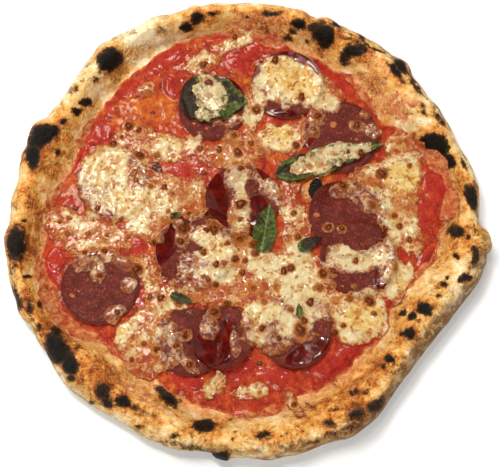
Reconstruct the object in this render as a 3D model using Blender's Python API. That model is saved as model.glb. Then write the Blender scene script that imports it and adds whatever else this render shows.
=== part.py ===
"""A whole salami pizza from a very hot oven: a puffed, charred rim of dough round a thin base,
tomato sauce, salami slices whose edges curl, pools of melted cheese and leaves of basil.

Lengths are millimetres in this code and become metres once, when a mesh is made. +Z is up, and the
origin lies under the middle of the flat base, on the surface that the pizza rests on. Bearings turn
anticlockwise from +X, and -Y is the near side. Each topping is a thin slab laid on what is below it.
"""

import math

import bpy
import numpy as np
from mathutils import Vector
from mathutils.bvhtree import BVHTree

MM = 0.001
TAU = 2.0 * math.pi

# The dough: the outline at its widest level and the inner foot of the rim, at every 15 degrees.
OUTLINE_RADII = (
    150.6, 150.0, 146.6, 149.4, 150.3, 149.9, 153.8, 153.6, 155.7, 153.2, 148.9, 154.3,
    153.4, 156.7, 154.9, 154.6, 151.6, 150.7, 150.9, 151.1, 149.8, 139.8, 142.6, 151.1,
)
FOOT_RADII = (
    130.0, 133.0, 117.0, 113.0, 121.0, 127.0, 131.0, 136.0, 134.0, 128.0, 122.0, 122.0,
    131.0, 137.0, 133.0, 118.0, 120.0, 126.0, 125.0, 123.0, 116.0, 112.0, 107.0, 116.0,
)
BASE_THICKNESS = 4.0
WIDEST_LEVEL = 9.5
CREST_HEIGHT = 14.5           # of the rim, before what its width adds
CREST_PER_WIDTH = 0.2         # a wider rim has puffed up higher
CREST_INSET = 0.42            # of the rim's width, from the outline in to the crest
TUCK = 12.0                   # how far the rim curls in under its outline
PUFF = 2.2                    # height of the rim's own swells
PUFF_SIZE = 25.0
DOUGH_SIDES = 144
UNDER_STEPS = (-60.0, -28.0)                  # degrees round the rim's side, up from its underside
UNDER_SHARES = (0.3, 0.7)                     # of the swells, at those steps
SIDE_STEPS = (0.0, 22.0, 44.0, 66.0, 90.0)
SLOPE_STEPS = (0.15, 0.3, 0.45, 0.6, 0.75, 0.88, 1.0)    # from the crest in to the foot
FLOOR_RING = 0.8              # a ring of the floor, as a share of the foot's radius
BUBBLE = (43.8, 19.5, 9.0, 5.5)               # a bubble of the base: x, y, radius, height
BUBBLE_SIDES = 20
BUBBLE_RINGS = 5

# Burst and charred blisters of the rim, and bumps: x, y, length, width, turn in degrees, height.
BLISTERS = (
    (-138.0, 56.0, 22.0, 19.0, 10.0, 3.6),
    (-142.0, 42.0, 16.0, 9.0, 80.0, 2.0),
    (-93.0, 112.0, 17.0, 16.0, 0.0, 2.6),
    (-148.0, -17.0, 22.0, 13.0, 85.0, 2.2),
    (-118.0, -84.0, 24.0, 15.0, 110.0, 3.0),
    (-109.0, -95.0, 12.0, 9.0, 120.0, 1.6),
    (52.5, 131.0, 18.0, 15.0, 70.0, 3.0),
    (35.0, 139.0, 12.0, 9.0, 0.0, 1.6),
    (71.5, 118.0, 20.0, 16.0, 60.0, 1.8),
    (122.5, 49.0, 20.0, 18.0, 0.0, 3.0),
    (131.0, 39.0, 12.0, 10.0, 40.0, 1.6),
    (146.0, 14.0, 18.0, 8.0, 95.0, 1.6),
    (133.0, -8.0, 12.0, 10.0, 20.0, 1.6),
    (137.5, -40.5, 9.0, 7.0, 30.0, 1.2),
    (146.0, -27.0, 13.0, 7.0, 80.0, 1.2),
    (104.0, 106.0, 14.0, 12.0, 130.0, 1.4),
    (-41.5, 136.5, 10.0, 8.0, 20.0, 1.5),
    (-35.5, 144.0, 8.0, 7.0, 0.0, 1.4),
    (-90.0, -111.5, 13.0, 10.0, 60.0, 1.6),
    (-76.5, -117.0, 8.0, 7.0, 0.0, 1.4),
    (-49.0, -114.0, 16.0, 8.0, -35.0, 1.6),
    (-26.0, -132.5, 12.0, 8.0, 0.0, 1.6),
    (-16.0, -151.0, 9.0, 8.0, 0.0, 3.2),
    (66.0, -126.0, 16.0, 9.0, 25.0, 1.6),
    (111.0, -60.0, 9.0, 8.0, 0.0, 1.4),
    (99.0, -76.0, 8.0, 8.0, 0.0, 1.2),
    (150.0, -16.0, 14.0, 11.0, 90.0, 4.6),
)

# The sauce: a thin lumpy layer out to the foot of the rim.
SAUCE_THICKNESS = 1.1
SAUCE_LUMP = 0.5
SAUCE_LUMP_SIZE = 15.0
SAUCE_WANDER = 1.2             # how far its edge falls short of the foot, at most
SAUCE_SIDES = 72
SAUCE_RINGS = (0.2, 0.45, 0.68, 0.87, 1.0)

# Salami: x, y, radius, how high the edge curls, and the bearing of the side that curls most.
SALAMI_THICKNESS = 1.4
SALAMI_SIDES = 18
SALAMI_RINGS = (0.42, 0.78, 1.0)
CURL_POWER = 3.0
SALAMI = (
    (-93.5, -45.0, 24.5, 1.8, 190.0),
    (70.0, -27.0, 23.5, 3.6, -15.0),
    (65.0, 1.0, 25.5, 1.2, 200.0),
    (62.0, 57.0, 25.0, 1.0, 80.0),
    (26.0, 94.0, 24.0, 2.6, 50.0),
    (-23.5, 78.0, 23.0, 1.2, 150.0),
    (-34.0, -21.5, 24.5, 3.6, 160.0),
    (-3.0, 12.5, 24.0, 4.6, 190.0),
    (-88.0, 24.0, 23.5, 0.8, 180.0),
    (-36.0, -80.0, 21.5, 1.4, 200.0),
    (-16.0, -77.0, 20.0, 4.8, 250.0),
    (30.0, -73.0, 23.5, 2.2, 270.0),
)

# Pools of melted cheese: x, y, half length, half width, turn in degrees. Pools that meet run together.
CHEESE_POOLS = (
    (-86.0, 24.0, 28.0, 25.0, 90.0),
    (-60.0, 8.0, 26.0, 24.0, 0.0),
    (-120.0, -3.0, 14.0, 12.0, 100.0),
    (-98.0, -14.0, 24.0, 12.0, 5.0),
    (-99.0, -27.0, 14.0, 8.0, 10.0),
    (-64.0, -38.0, 16.0, 8.0, 110.0),
    (-62.0, 52.0, 26.0, 10.0, -10.0),
    (-36.0, 13.0, 16.0, 10.0, 95.0),
    (-14.0, 49.0, 32.0, 14.0, 0.0),
    (24.0, 60.0, 18.0, 15.0, 20.0),
    (4.0, 78.0, 20.0, 8.0, 80.0),
    (9.0, 37.0, 14.0, 8.0, 0.0),
    (-6.0, 13.0, 28.0, 8.5, 94.0),
    (13.0, 22.0, 12.0, 6.0, -40.0),
    (30.0, 4.0, 26.0, 10.0, 100.0),
    (28.0, 95.0, 25.0, 17.0, -35.0),
    (48.0, 90.0, 16.0, 8.0, -35.0),
    (102.0, 36.0, 24.0, 15.0, 80.0),
    (102.0, -6.0, 34.0, 12.0, 92.0),
    (78.0, 21.0, 17.0, 8.0, -35.0),
    (84.0, 33.0, 16.0, 7.0, 10.0),
    (71.0, -23.0, 24.0, 8.0, 5.0),
    (12.0, -33.0, 40.0, 20.0, -5.0),
    (-20.0, -32.0, 24.0, 15.0, 0.0),
    (38.0, -50.0, 26.0, 18.0, 10.0),
    (14.0, -70.0, 18.0, 20.0, 10.0),
    (30.0, -72.0, 13.0, 10.0, 20.0),
    (78.0, -65.0, 25.0, 17.0, 20.0),
    (-62.0, -80.0, 24.0, 20.0, 130.0),
    (-58.0, -58.0, 12.0, 10.0, 0.0),
    (-40.0, -50.0, 18.0, 10.0, 10.0),
)
# Smaller dabs that lie apart on the sauce.
CHEESE_DABS = (
    (-30.0, 112.0, 13.0, 9.5, 20.0),
    (-8.0, 127.0, 17.0, 5.0, 20.0),
    (-69.0, 92.0, 8.0, 5.5, 40.0),
    (-21.0, -108.0, 9.0, 6.0, 60.0),
    (4.0, -111.0, 16.0, 4.5, 5.0),
    (28.0, -119.0, 10.0, 4.0, 120.0),
)
# Bare places in the cheese, written the same way.
CHEESE_GAPS = (
    (-19.5, 14.0, 17.0, 5.0, 97.0),
    (13.0, 34.0, 11.0, 6.5, 0.0),
    (16.0, -2.0, 17.0, 8.0, 100.0),
    (-47.0, -14.0, 17.0, 7.5, 65.0),
    (68.0, -42.0, 19.0, 6.5, 0.0),
    (-52.0, 34.0, 17.0, 4.5, -8.0),
    (-70.0, -21.0, 12.0, 5.0, 5.0),
    (25.0, 72.0, 11.0, 4.0, 0.0),
    (-22.0, 60.0, 8.0, 5.0, 60.0),
    (-19.0, -81.0, 17.0, 10.0, 90.0),
    (36.0, -89.0, 19.0, 6.5, 18.0),
    (47.0, -70.0, 6.0, 4.5, 0.0),
    (44.5, 19.5, 12.0, 11.0, 0.0),
    (-87.0, -49.0, 21.0, 21.0, 0.0),
    (67.0, -3.0, 25.0, 15.0, -35.0),
    (103.0, -27.0, 9.0, 4.0, 110.0),
)
CHEESE_STEP = 6.3
DAB_STEP = 4.0
CHEESE_EDGE = 0.9             # thickness at the edge of a pool
CHEESE_DEPTH = 2.1            # thickness in its middle
CHEESE_RISE = 7.0             # how far in from the edge the thickness grows
CHEESE_LUMP = 0.5
CHEESE_LUMP_SIZE = 14.0
CHEESE_RAGGED = 2.2           # how far the edge wanders
RAGGED_SIZE = 11.0
DAB_RAGGED = 1.0
DAB_RAGGED_SIZE = 7.0
CHEESE_SMALLEST = 80.0        # square millimetres: smaller scraps are left out

# Basil: x, y, length, width, turn of the tip in degrees, fold along the middle, wave.
LEAF_THICKNESS = 0.8
LEAF_SIDES = 22
LEAF_RINGS = (0.4, 0.75, 1.0)
SMALL_LEAF_SIDES = 10
SMALL_LEAF = 20.0             # a shorter leaf than this has fewer sides
LEAF_TIP = 0.9                # how pointed the tip is
BASIL = (
    (-22.5, 83.0, 46.0, 40.0, -5.0, 1.8, 1.2),
    (54.5, 41.0, 76.0, 20.0, 17.0, 1.4, 1.2),
    (11.5, -6.5, 32.0, 18.0, 80.0, 1.8, 0.6),
    (40.0, -16.5, 17.0, 10.0, 25.0, 0.5, 0.4),
    (-41.5, -53.0, 16.0, 7.0, -20.0, 0.4, 0.4),
    (32.5, -61.0, 10.0, 5.0, 95.0, 0.2, 0.2),
    (-46.5, 2.0, 8.0, 5.0, 20.0, 0.2, 0.2),
)
LEAF_POOLS = (                # cheese that lies on a leaf: x, y, half length, half width, turn
    (-27.0, 84.0, 17.0, 9.0, 100.0),
    (52.0, 40.5, 33.0, 6.5, 17.0),
)
LEAF_POOL_STEP = 5.0
LEAF_POOL_RAGGED = 0.5

# How the layers are laid.
GAP = 0.35                    # between a layer and what it lies on
RASTER = 1.0                  # spacing of the height field's columns
FIELD_HALF = 165.0            # half the side of the square that it covers
EDGE_REACH = 1.6              # how far past a piece's edge its height counts
DRAPE_REACH = 3.0             # how far a soft layer bridges round a step
SETTLE_ROUNDS = 60
FILL_ROUNDS = 3
SNAP = 0.33                   # of a step: how near the edge a lattice point moves onto it

SEEDS = {
    "swells": 11,
    "small swells": 12,
    "sauce": 21,
    "cheese edge": 31,
    "cheese": 32,
    "leaf cheese edge": 33,
    "dab edge": 34,
}

# Colours as seen, in sRGB hex, and roughness.
COLOURS = {
    "dough": ("d8a768", 0.75),
    "sauce": ("b5402a", 0.35),
    "salami": ("713632", 0.4),
    "cheese": ("e3c48a", 0.4),
    "basil": ("4a5c28", 0.45),
}


def start_empty():
    """Removes whatever the open file holds, so that only the pizza is left."""
    for item in list(bpy.data.objects):
        bpy.data.objects.remove(item, do_unlink=True)


def linear_colour(code):
    """Turns an sRGB hex colour into the linear values that a shader takes."""
    parts = np.array([int(code[k:k + 2], 16) for k in (0, 2, 4)]) / 255.0
    linear = np.where(parts <= 0.04045, parts / 12.92, ((parts + 0.055) / 1.055) ** 2.4)
    return (*linear.tolist(), 1.0)


def make_material(name):
    """A plain shader with one food's colour and gloss."""
    code, roughness = COLOURS[name]
    material = bpy.data.materials.new(name)
    material.use_nodes = True
    shader = material.node_tree.nodes["Principled BSDF"]
    shader.inputs["Base Color"].default_value = linear_colour(code)
    shader.inputs["Roughness"].default_value = roughness
    shader.inputs["Metallic"].default_value = 0.0
    material.diffuse_color = linear_colour(code)
    return material


def add_object(name, vertices, faces, material):
    """Makes one named object from points in millimetres and shades it smooth."""
    mesh = bpy.data.meshes.new(name)
    mesh.from_pydata((np.asarray(vertices) * MM).tolist(), [], [tuple(face) for face in faces])
    mesh.update()
    mesh.shade_smooth()
    mesh.set_sharp_from_angle(angle=math.radians(55.0))
    mesh.materials.append(material)
    piece = bpy.data.objects.new(name, mesh)
    bpy.context.scene.collection.objects.link(piece)
    return piece


# ---- Shared formulas ----

def around(values, bearing):
    """A smooth closed curve through evenly spaced values, read at bearings in radians."""
    values = np.asarray(values)
    place = np.asarray(bearing) / TAU * len(values)
    left = np.floor(place).astype(int)
    t = place - left
    a, b, c, d = (values[(left + k) % len(values)] for k in (-1, 0, 1, 2))
    return b + 0.5 * t * (c - a + t * (2 * a - 5 * b + 4 * c - d + t * (3 * (b - c) + d - a)))


def lumps(x, y, size, seed):
    """Smooth uneven relief from -1 to 1, blended from a seeded lattice with cells of one size."""
    count = 64
    lattice = np.random.default_rng(seed).uniform(-1.0, 1.0, (count, count))
    u = np.asarray(x) / size + count / 2
    v = np.asarray(y) / size + count / 2
    i = np.floor(u).astype(int)
    j = np.floor(v).astype(int)
    s = (u - i) ** 2 * (3.0 - 2.0 * (u - i))
    t = (v - j) ** 2 * (3.0 - 2.0 * (v - j))
    near = lattice[i % count, j % count] * (1 - s) + lattice[(i + 1) % count, j % count] * s
    far = lattice[i % count, (j + 1) % count] * (1 - s) + lattice[(i + 1) % count, (j + 1) % count] * s
    return near * (1 - t) + far * t


def oval_reach(x, y, oval):
    """How far inside an oval each point is: its half width at the middle, 0 on its edge."""
    middle_x, middle_y, half_length, half_width, turn = oval
    angle = math.radians(turn)
    along = (x - middle_x) * math.cos(angle) + (y - middle_y) * math.sin(angle)
    across = (y - middle_y) * math.cos(angle) - (x - middle_x) * math.sin(angle)
    share = np.hypot(along / half_length, across / half_width)
    return (1.0 - share) * min(half_length, half_width)


# ---- Dough ----

def blister_height(x, y):
    """Domes of the charred blisters: each is a smooth cap over its oval, and the highest counts."""
    height = np.zeros(np.shape(x))
    for middle_x, middle_y, length, width, turn, rise in BLISTERS:
        inside = oval_reach(x, y, (middle_x, middle_y, length / 2 + 2.0, width / 2 + 2.0, turn))
        share = np.clip(inside / (width / 2), 0.0, 1.0)
        height = np.maximum(height, rise * share * (2.0 - share))
    return height


def rim_rings(bearing):
    """Radius and height of each ring of the dough, from under the rim, over it, to its inner foot."""
    outline = around(OUTLINE_RADII, bearing)
    foot = around(FOOT_RADII, bearing)
    width = outline - foot
    crest_radius = outline - CREST_INSET * width
    crest = CREST_HEIGHT + CREST_PER_WIDTH * width
    rings = [(outline - TUCK, 0.0 * outline)]
    for degrees in UNDER_STEPS:
        turn = math.radians(degrees)
        radius = outline - TUCK * (1.0 - math.cos(turn))
        rings.append((radius, WIDEST_LEVEL * (1.0 + math.sin(turn)) + 0.0 * outline))
    for degrees in SIDE_STEPS:
        turn = math.radians(degrees)
        radius = crest_radius + (outline - crest_radius) * math.cos(turn)
        rings.append((radius, WIDEST_LEVEL + (crest - WIDEST_LEVEL) * math.sin(turn)))
    for share in SLOPE_STEPS:
        fall = 0.5 + 0.5 * math.cos(math.pi * share)
        radius = crest_radius - share * (crest_radius - foot)
        rings.append((radius, BASE_THICKNESS + (crest - BASE_THICKNESS) * fall))
    rings.append((FLOOR_RING * foot, BASE_THICKNESS + 0.0 * foot))
    return rings


def dough_points():
    """The dough's rings as points, with the swells and blisters pushed out of the rim."""
    bearing = np.arange(DOUGH_SIDES) / DOUGH_SIDES * TAU
    rings = rim_rings(bearing)
    radius = np.array([ring[0] for ring in rings])
    height = np.array([ring[1] for ring in rings])
    step_out = np.gradient(radius, axis=0)
    step_up = np.gradient(height, axis=0)
    size = np.hypot(step_out, step_up)
    out, up = step_up / size, -step_out / size
    x = radius * np.cos(bearing)
    y = radius * np.sin(bearing)
    rise = PUFF * lumps(x, y, PUFF_SIZE, SEEDS["swells"])
    rise += 0.5 * PUFF * lumps(x, y, PUFF_SIZE / 2, SEEDS["small swells"])
    rise += blister_height(x, y)
    share = np.zeros(len(rings))
    first = 1 + len(UNDER_STEPS)
    crest = first + len(SIDE_STEPS)
    share[1:first] = UNDER_SHARES
    share[first:crest] = 1.0
    share[crest:-1] = 1.0 - np.array(SLOPE_STEPS) ** 4
    rise = rise * share[:, None]
    radius = radius + rise * out
    height = height + rise * up
    return np.stack([radius * np.cos(bearing), radius * np.sin(bearing), height], axis=-1)


def make_dough(material):
    """The dough as one closed body: its rings joined up, closed by a fan below and one above."""
    points = dough_points()
    ring_count = len(points)
    centre_below = ring_count * DOUGH_SIDES
    centre_above = centre_below + 1
    vertices = np.vstack([points.reshape(-1, 3), [(0.0, 0.0, 0.0), (0.0, 0.0, BASE_THICKNESS)]])
    faces = []
    for side in range(DOUGH_SIDES):
        onward = (side + 1) % DOUGH_SIDES
        faces.append((centre_below, onward, side))
        for ring in range(ring_count - 1):
            low, high = ring * DOUGH_SIDES, (ring + 1) * DOUGH_SIDES
            faces.append((low + side, low + onward, high + onward))
            faces.append((low + side, high + onward, high + side))
        last = (ring_count - 1) * DOUGH_SIDES
        faces.append((last + side, last + onward, centre_above))
    return add_object("dough", vertices, faces, material)


def bubble_shape(name, margin, material):
    """The bubble of the base as a lumpy dome, larger than itself by a margin. It only shapes others."""
    middle_x, middle_y, radius, height = BUBBLE
    turns = np.arange(BUBBLE_SIDES) / BUBBLE_SIDES * TAU
    wobble = 1.0 + 0.07 * np.sin(2.0 * turns + 0.6) + 0.04 * np.sin(5.0 * turns)
    foot = BASE_THICKNESS / 2
    vertices = [(middle_x, middle_y, foot), (middle_x, middle_y, BASE_THICKNESS + height + margin)]
    for ring in range(BUBBLE_RINGS + 1):
        climb = max(ring - 1, 0) / BUBBLE_RINGS * math.pi / 2
        level = foot if ring == 0 else BASE_THICKNESS - 0.2 + (height + margin) * math.sin(climb)
        reach = (radius + margin) * wobble * math.cos(climb)
        vertices += [(middle_x + reach[k] * math.cos(turns[k]),
                      middle_y + reach[k] * math.sin(turns[k]), level) for k in range(BUBBLE_SIDES)]
    faces = []
    for side in range(BUBBLE_SIDES):
        onward = (side + 1) % BUBBLE_SIDES
        faces.append((0, 2 + onward, 2 + side))
        for ring in range(BUBBLE_RINGS):
            low, high = 2 + ring * BUBBLE_SIDES, 2 + (ring + 1) * BUBBLE_SIDES
            faces.append((low + side, low + onward, high + onward, high + side))
        last = 2 + BUBBLE_RINGS * BUBBLE_SIDES
        faces.append((last + side, last + onward, 1))
    shape = add_object(name, vertices, faces, material)
    shape.hide_render = True
    shape.display_type = "WIRE"
    return shape


def combine(piece, shape, operation):
    """Joins a helper shape to a piece, or cuts it away, with a Boolean modifier."""
    change = piece.modifiers.new(shape.name, "BOOLEAN")
    change.operation = operation
    change.solver = "EXACT"
    change.object = shape


# ---- Height field: how high the pizza stands in each column ----

def empty_field():
    count = int(2 * FIELD_HALF / RASTER) + 1
    return np.zeros((count, count))


def column(value):
    """The fractional place of a coordinate among the field's columns."""
    return (np.asarray(value) + FIELD_HALF) / RASTER


def read_field(field, x, y):
    """The field's height at any point, blended from the four columns round it."""
    u, v = column(x), column(y)
    i = np.clip(np.floor(u).astype(int), 0, len(field) - 2)
    j = np.clip(np.floor(v).astype(int), 0, len(field) - 2)
    s, t = u - i, v - j
    near = field[j, i] * (1 - s) + field[j, i + 1] * s
    far = field[j + 1, i] * (1 - s) + field[j + 1, i + 1] * s
    return near * (1 - t) + far * t


def widened(field, reach):
    """Each column takes the greatest height within a reach of it."""
    steps = int(math.ceil(reach / RASTER))
    result = field.copy()
    for j in range(-steps, steps + 1):
        for i in range(-steps, steps + 1):
            if math.hypot(i, j) * RASTER <= reach:
                result = np.maximum(result, np.roll(field, (j, i), axis=(0, 1)))
    return result


def smoothed(field, steps):
    """Each column takes the mean of a square of columns round it."""
    for axis in (0, 1):
        field = sum(np.roll(field, k, axis=axis) for k in range(-steps, steps + 1)) / (2 * steps + 1)
    return field


def field_of_object(piece):
    """The height field of one object, found by looking straight down on its finished mesh."""
    evaluated = piece.evaluated_get(bpy.context.evaluated_depsgraph_get())
    mesh = evaluated.to_mesh()
    tree = BVHTree.FromPolygons([v.co / MM for v in mesh.vertices],
                                [tuple(face.vertices) for face in mesh.polygons])
    evaluated.to_mesh_clear()
    field = empty_field()
    above, down = 100.0, Vector((0.0, 0.0, -1.0))
    for j in range(len(field)):
        for i in range(len(field)):
            spot = tree.ray_cast(Vector((i * RASTER - FIELD_HALF, j * RASTER - FIELD_HALF, above)), down)[0]
            if spot is not None:
                field[j, i] = spot.z
    return field


def cover(plan, triangles):
    """Which columns a flat sheet of triangles covers, and each one's shares of its three corners."""
    tree = BVHTree.FromPolygons([(x, y, 0.0) for x, y in plan], triangles.tolist())
    low = np.ceil(column(plan.min(axis=0))).astype(int)
    high = np.floor(column(plan.max(axis=0))).astype(int)
    rows, columns, hits = [], [], []
    down = Vector((0.0, 0.0, -1.0))
    for j in range(low[1], high[1] + 1):
        for i in range(low[0], high[0] + 1):
            place = Vector((i * RASTER - FIELD_HALF, j * RASTER - FIELD_HALF, 1.0))
            face = tree.ray_cast(place, down)[2]
            if face is not None:
                rows.append(j)
                columns.append(i)
                hits.append(face)
    rows, columns, hits = np.array(rows), np.array(columns), np.array(hits)
    a, b, c = (plan[triangles[hits, k]] for k in range(3))
    p = np.stack([columns * RASTER - FIELD_HALF, rows * RASTER - FIELD_HALF], axis=-1)
    area = np.cross(b - a, c - a)
    share_b = np.cross(p - a, c - a) / area
    share_c = np.cross(b - a, p - a) / area
    shares = np.stack([1.0 - share_b - share_c, share_b, share_c], axis=-1)
    return rows, columns, hits, shares


def settle(bottom, triangles, covered, floor):
    """Lifts a sheet's corners, a little at a time, until it clears the floor field by the gap."""
    rows, columns, hits, shares = covered
    bottom = bottom.copy()
    for _ in range(SETTLE_ROUNDS):
        corners = triangles[hits]
        short = floor[rows, columns] + GAP - (bottom[corners] * shares).sum(axis=1)
        if short.max() <= 0.0:
            break
        lift = np.zeros(len(bottom))
        np.maximum.at(lift, corners.ravel(), np.repeat(np.maximum(short, 0.0), 3))
        bottom += lift
    return bottom


def filled(top, triangles):
    """Melted food runs into hollows: each inner corner rises to the mean of its neighbours."""
    edges = np.vstack([triangles[:, [0, 1]], triangles[:, [1, 2]], triangles[:, [2, 0]]])
    rim = np.unique(edge_loop(triangles))
    for _ in range(FILL_ROUNDS):
        total = np.zeros(len(top))
        count = np.zeros(len(top))
        np.add.at(total, edges[:, 0], top[edges[:, 1]])
        np.add.at(count, edges[:, 0], 1.0)
        level = np.maximum(top, total / np.maximum(count, 1.0))
        level[rim] = top[rim]
        top = level
    return top


def lay_slab(name, plan, triangles, lift, thickness, field, material, soft=False, runs=False):
    """Lays a sheet on the field, gives it thickness, and returns its object and the raised field."""
    covered = cover(plan, triangles)
    start = widened(field, EDGE_REACH)
    floor = start
    if soft:
        start = smoothed(widened(field, DRAPE_REACH), 2)
    bottom = read_field(start, plan[:, 0], plan[:, 1]) + GAP + lift
    bottom = settle(bottom, triangles, covered, floor)
    top = bottom + thickness
    if runs:
        top = filled(top, triangles)
    rows, columns, hits, shares = covered
    raised = field.copy()
    raised[rows, columns] = np.maximum(raised[rows, columns], (top[triangles[hits]] * shares).sum(axis=1))
    count = len(plan)
    vertices = np.vstack([np.column_stack([plan, bottom]), np.column_stack([plan, top])])
    wall = []
    for start_point, end_point in edge_loop(triangles):
        wall.append((start_point, end_point, end_point + count))
        wall.append((start_point, end_point + count, start_point + count))
    faces = triangles[:, ::-1].tolist() + (triangles + count).tolist() + wall
    return add_object(name, vertices, faces, material), raised


def edge_loop(triangles):
    """The directed edges that only one triangle has: the sheet's outline, with the sheet on the left."""
    edges = {(int(t[k]), int(t[(k + 1) % 3])) for t in triangles for k in range(3)}
    return [edge for edge in sorted(edges) if (edge[1], edge[0]) not in edges]


# ---- Plans: the flat triangle meshes that the slabs are made from ----

def disc_plan(rings, sides, outline):
    """A disc of triangles: a centre and rings, with outline giving the edge at each turn."""
    turns = np.arange(sides) / sides * TAU
    edge = outline(turns)
    plan = [np.zeros((1, 2))] + [edge * share for share in rings]
    triangles = []
    for side in range(sides):
        onward = (side + 1) % sides
        triangles.append((0, 1 + side, 1 + onward))
        for ring in range(len(rings) - 1):
            low, high = 1 + ring * sides, 1 + (ring + 1) * sides
            triangles.append((low + side, high + side, high + onward))
            triangles.append((low + side, high + onward, low + onward))
    return np.vstack(plan), np.array(triangles)


def lattice_points(half, step):
    """A triangular lattice over a square, with the triangles that join its points."""
    columns = int(2 * half / step) + 2
    rows = int(2 * half / (step * math.sqrt(3.0) / 2.0)) + 2
    i, j = np.meshgrid(np.arange(columns), np.arange(rows))
    x = (i + 0.5 * (j % 2)) * step - half
    y = j * step * math.sqrt(3.0) / 2.0 - half
    triangles = []
    for row in range(rows - 1):
        for k in range(columns - 1):
            a, b = row * columns + k, row * columns + k + 1
            c, d = a + columns, b + columns
            triangles += [(a, b, c), (b, d, c)] if row % 2 == 0 else [(a, b, d), (a, d, c)]
    return np.stack([x.ravel(), y.ravel()], axis=-1), triangles


def clipped_plan(reach, half, step):
    """Triangles over the area where a reach function is positive, ending on its zero line."""
    plan, lattice = lattice_points(half, step)
    value = reach(plan[:, 0], plan[:, 1])
    small = 0.25
    slope = np.stack([reach(plan[:, 0] + small, plan[:, 1]) - reach(plan[:, 0] - small, plan[:, 1]),
                      reach(plan[:, 0], plan[:, 1] + small) - reach(plan[:, 0], plan[:, 1] - small)],
                     axis=-1) / (2.0 * small)
    steep = np.maximum((slope ** 2).sum(axis=1), 0.3)
    near = np.abs(value) < SNAP * step
    plan[near] -= (value / steep)[near, None] * slope[near]
    value[near] = 0.0
    while True:
        points, triangles = clip_lattice(plan, value, lattice)
        starts = [edge[0] for edge in edge_loop(triangles)]
        pinches = [k for k in set(starts) if starts.count(k) > 1 and k < len(plan)]
        if not pinches:
            return points, triangles
        value[pinches] = -SNAP * step


def clip_lattice(plan, value, lattice):
    """Keeps the lattice's positive side: whole triangles, and the cut parts of those on the line."""
    points = [tuple(point) for point in plan]
    cuts = {}
    triangles = []

    def cut(a, b):
        key = (min(a, b), max(a, b))
        if key not in cuts:
            share = value[a] / (value[a] - value[b])
            points.append(tuple(plan[a] + share * (plan[b] - plan[a])))
            cuts[key] = len(points) - 1
        return cuts[key]

    for triangle in lattice:
        signs = [value[k] for k in triangle]
        if max(signs) <= 0.0:
            continue
        if min(signs) >= 0.0:
            triangles.append(triangle)
            continue
        outline = []
        for k in range(3):
            a, b = triangle[k], triangle[(k + 1) % 3]
            if value[a] >= 0.0:
                outline.append(a)
            if value[a] * value[b] < 0.0:
                outline.append(cut(a, b))
        triangles.append(tuple(outline[:3]))
        if len(outline) == 4:
            triangles.append((outline[0], outline[2], outline[3]))
    return np.array(points), np.array(triangles)


def separate(points, triangles):
    """Splits a sheet into its connected parts, the largest first, and leaves out small scraps."""
    owner = list(range(len(points)))

    def root(k):
        while owner[k] != k:
            owner[k] = owner[owner[k]]
            k = owner[k]
        return k

    for a, b, c in triangles.tolist():
        owner[root(b)] = root(a)
        owner[root(c)] = root(a)
    groups = {}
    for triangle in triangles.tolist():
        groups.setdefault(root(triangle[0]), []).append(triangle)
    parts = []
    for group in groups.values():
        used, flat = np.unique(np.array(group), return_inverse=True)
        plan, corners = points[used], flat.reshape(-1, 3)
        a, b, c = (plan[corners[:, k]] for k in range(3))
        area = float(np.cross(b - a, c - a).sum()) / 2.0
        if area >= CHEESE_SMALLEST:
            parts.append((area, plan, corners))
    parts.sort(key=lambda part: -part[0])
    return [(plan, corners) for _, plan, corners in parts]


# ---- Toppings ----

def make_sauce(field, material):
    """The sauce: a thin lumpy disc out to the rim's foot, with a wandering edge."""
    def outline(turns):
        edge = around(FOOT_RADII, turns) - SAUCE_WANDER * (0.5 + 0.5 * np.sin(7.0 * turns))
        return np.stack([edge * np.cos(turns), edge * np.sin(turns)], axis=-1)

    plan, triangles = disc_plan(SAUCE_RINGS, SAUCE_SIDES, outline)
    thickness = SAUCE_THICKNESS + SAUCE_LUMP * lumps(plan[:, 0], plan[:, 1], SAUCE_LUMP_SIZE, SEEDS["sauce"])
    return lay_slab("tomato_sauce", plan, triangles, 0.0, thickness, field, material)


def make_salami(number, slice_sizes, field, material):
    """One slice: a thin disc whose edge curls up, most of all towards one bearing."""
    middle_x, middle_y, radius, curl, bearing = slice_sizes

    def outline(turns):
        edge = radius * (1.0 + 0.015 * np.sin(2.0 * turns + number) + 0.01 * np.sin(3.0 * turns))
        return np.stack([edge * np.cos(turns), edge * np.sin(turns)], axis=-1)

    plan, triangles = disc_plan(SALAMI_RINGS, SALAMI_SIDES, outline)
    share = np.hypot(plan[:, 0], plan[:, 1]) / radius
    turn = np.arctan2(plan[:, 1], plan[:, 0]) - math.radians(bearing)
    lift = curl * share ** CURL_POWER * (0.55 + 0.45 * np.cos(turn))
    plan = plan + (middle_x, middle_y)
    name = f"salami_{number:02d}"
    return lay_slab(name, plan, triangles, lift, SALAMI_THICKNESS, field, material)[1]


def cheese_reach(x, y):
    """How far inside the melted cheese each point is: in any pool, out of every gap."""
    reach = np.max([oval_reach(x, y, pool) for pool in CHEESE_POOLS], axis=0)
    gaps = np.max([oval_reach(x, y, gap) for gap in CHEESE_GAPS], axis=0)
    ragged = CHEESE_RAGGED * lumps(x, y, RAGGED_SIZE, SEEDS["cheese edge"])
    return np.minimum(reach, -gaps) + ragged


def cheese_thickness(plan, reach):
    """Thin at the edge of a pool and thicker towards its middle, with low lumps."""
    share = 1.0 - np.exp(-np.maximum(reach, 0.0) / CHEESE_RISE)
    lump = CHEESE_LUMP * lumps(plan[:, 0], plan[:, 1], CHEESE_LUMP_SIZE, SEEDS["cheese"])
    return CHEESE_EDGE + (CHEESE_DEPTH - CHEESE_EDGE + lump) * share


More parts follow.
